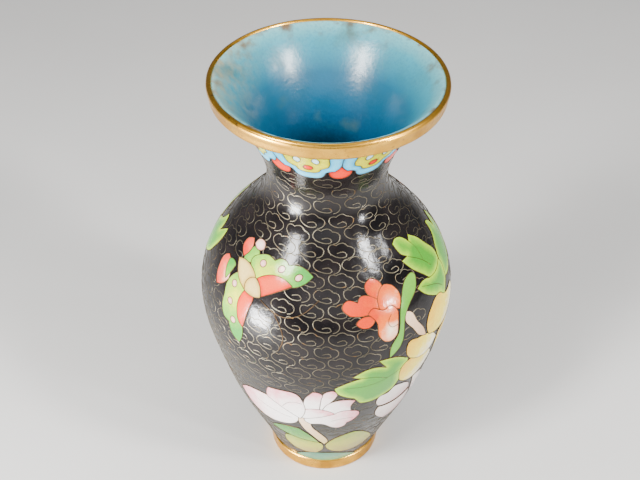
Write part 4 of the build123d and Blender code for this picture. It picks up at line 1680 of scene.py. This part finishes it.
class Studio:
    """Pale floor, soft lights and the camera; none of it belongs to the vase."""

    AIM = Vector((0.0, 0.0, 0.09))
    EYE = Vector((-0.00225, -0.3185, 0.3527))
    PITCH = math.radians(38.96)
    ROLL = math.radians(0.4)

    def build(self) -> None:
        """Set everything up."""
        self.floor()
        for light in Light:
            self.lamp(light)
        self.sky()
        self.camera()

    def floor(self) -> None:
        """Plain pale floor."""
        side = 3.0
        count = 12
        steps = np.linspace(-side, side, count + 1)
        places = np.array([(x, y, 0.0) for y in steps for x in steps])
        row = count + 1
        faces = [(j * row + i, j * row + i + 1, (j + 1) * row + i + 1, (j + 1) * row + i)
                 for j in range(count) for i in range(count)]
        sheet = build_mesh("floor", places, faces)
        material, tree, shader = surface("matt_pale_board")
        tone = mix(tree, grain(tree, 120.0, 0.3, 0.7), srgb("D2D0CD"), srgb("CDCBC8"))
        feed(tree, shader, {"Base Color": tone, "Roughness": 0.75})
        sheet.data.materials.append(material)

    def lamp(self, light: Light) -> None:
        """One soft light, facing the vase.

        Args:
            light: which light.
        """
        way, distance, size, power = light.value
        data = bpy.data.lights.new(light.name.lower(), "AREA")
        data.shape = "RECTANGLE"
        data.size, data.size_y = size
        data.energy = power
        lamp = bpy.data.objects.new(light.name.lower(), data)
        place = self.AIM + Vector(way).normalized() * distance
        facing = (place - self.AIM).to_track_quat("Z", "Y").to_matrix().to_4x4()
        lamp.matrix_world = Matrix.Translation(place) @ facing
        bpy.context.scene.collection.objects.link(lamp)

    def sky(self) -> None:
        """Even, soft light from all round."""
        world = bpy.data.worlds.new("studio")
        world.use_nodes = True
        world.node_tree.nodes.clear()
        glow = add_node(world.node_tree, "ShaderNodeBackground", inputs={
            "Color": srgb("E6E8EC"), "Strength": 0.26})
        add_node(world.node_tree, "ShaderNodeOutputWorld", inputs={"Surface": glow.outputs[0]})
        bpy.context.scene.world = world

    def camera(self) -> None:
        """Camera above the front, looking down at the vase."""
        ahead = Vector((0, math.cos(self.PITCH), -math.sin(self.PITCH)))
        right = Vector((1, 0, 0))
        above = right.cross(ahead)
        side = right * math.cos(self.ROLL) + above * math.sin(self.ROLL)
        top = above * math.cos(self.ROLL) - right * math.sin(self.ROLL)
        data = bpy.data.cameras.new("camera")
        data.lens = 67.5
        data.sensor_width = 36.0
        data.clip_start = 0.01
        eye = bpy.data.objects.new("camera", data)
        eye.matrix_world = Matrix.Translation(self.EYE) @ Matrix((side, top, -ahead)).transposed().to_4x4()
        bpy.context.scene.collection.objects.link(eye)
        bpy.context.scene.camera = eye


def main() -> None:
    """Build the vase and the studio."""
    logging.basicConfig(level=logging.INFO, format="%(name)s: %(message)s")
    lappet = Motif("lappet", -13.4, 150, LAPPET_CELLS, 8)
    fan = Motif("fan", 9.1, 150, FAN_CELLS, 8)
    fan.go_under(lappet)
    fan.go_under(lappet, 45.0)
    drawings = [
        Motif("butterfly", -40, 92, BUTTERFLY_CELLS, wires=FEELERS),
        Motif("flower", 40, 92, FLOWER_CELLS, wires=CURLS),
        Motif("peony", 40, 92, PEONY_CELLS, wires=LEAF_VEINS),
        Motif("magnolia", 0, 40, MAGNOLIA_CELLS, wires=PETAL_VEINS),
        Motif("foot_leaf", 0, 40, FOOT_LEAF_CELLS),
        Motif("pale_flower", 0, 40, PALE_FLOWER_CELLS),
    ]
    for number, drawing in enumerate(drawings):
        for front in drawings[:number]:
            drawing.go_under(front)
    motifs = [lappet, fan, *drawings]
    brass = GiltBrass().make()
    wire_metal = GiltBrass("drawn_wire_brass", "746D5C", "4C4538", 0.45).make()
    dark_wire = GiltBrass("burnt_wire_brass", "5A4630", "382A1C", 0.5).make()
    body = Body(brass)
    body.ground()
    body.lining()
    body.rim()
    body.foot()
    body.inner_metal(frame["nodes"])
    colours = {colour.node: colour for colour in ENAMELS}
    copies, wire = copies_tree(), wire_tree()
    for motif in motifs:
        CellWork(motif, colours, copies, wire, dark_wire).build()
    CloudWires().build(motifs, wire_metal)
    Studio().build()


if __name__ == "__main__":
    main()
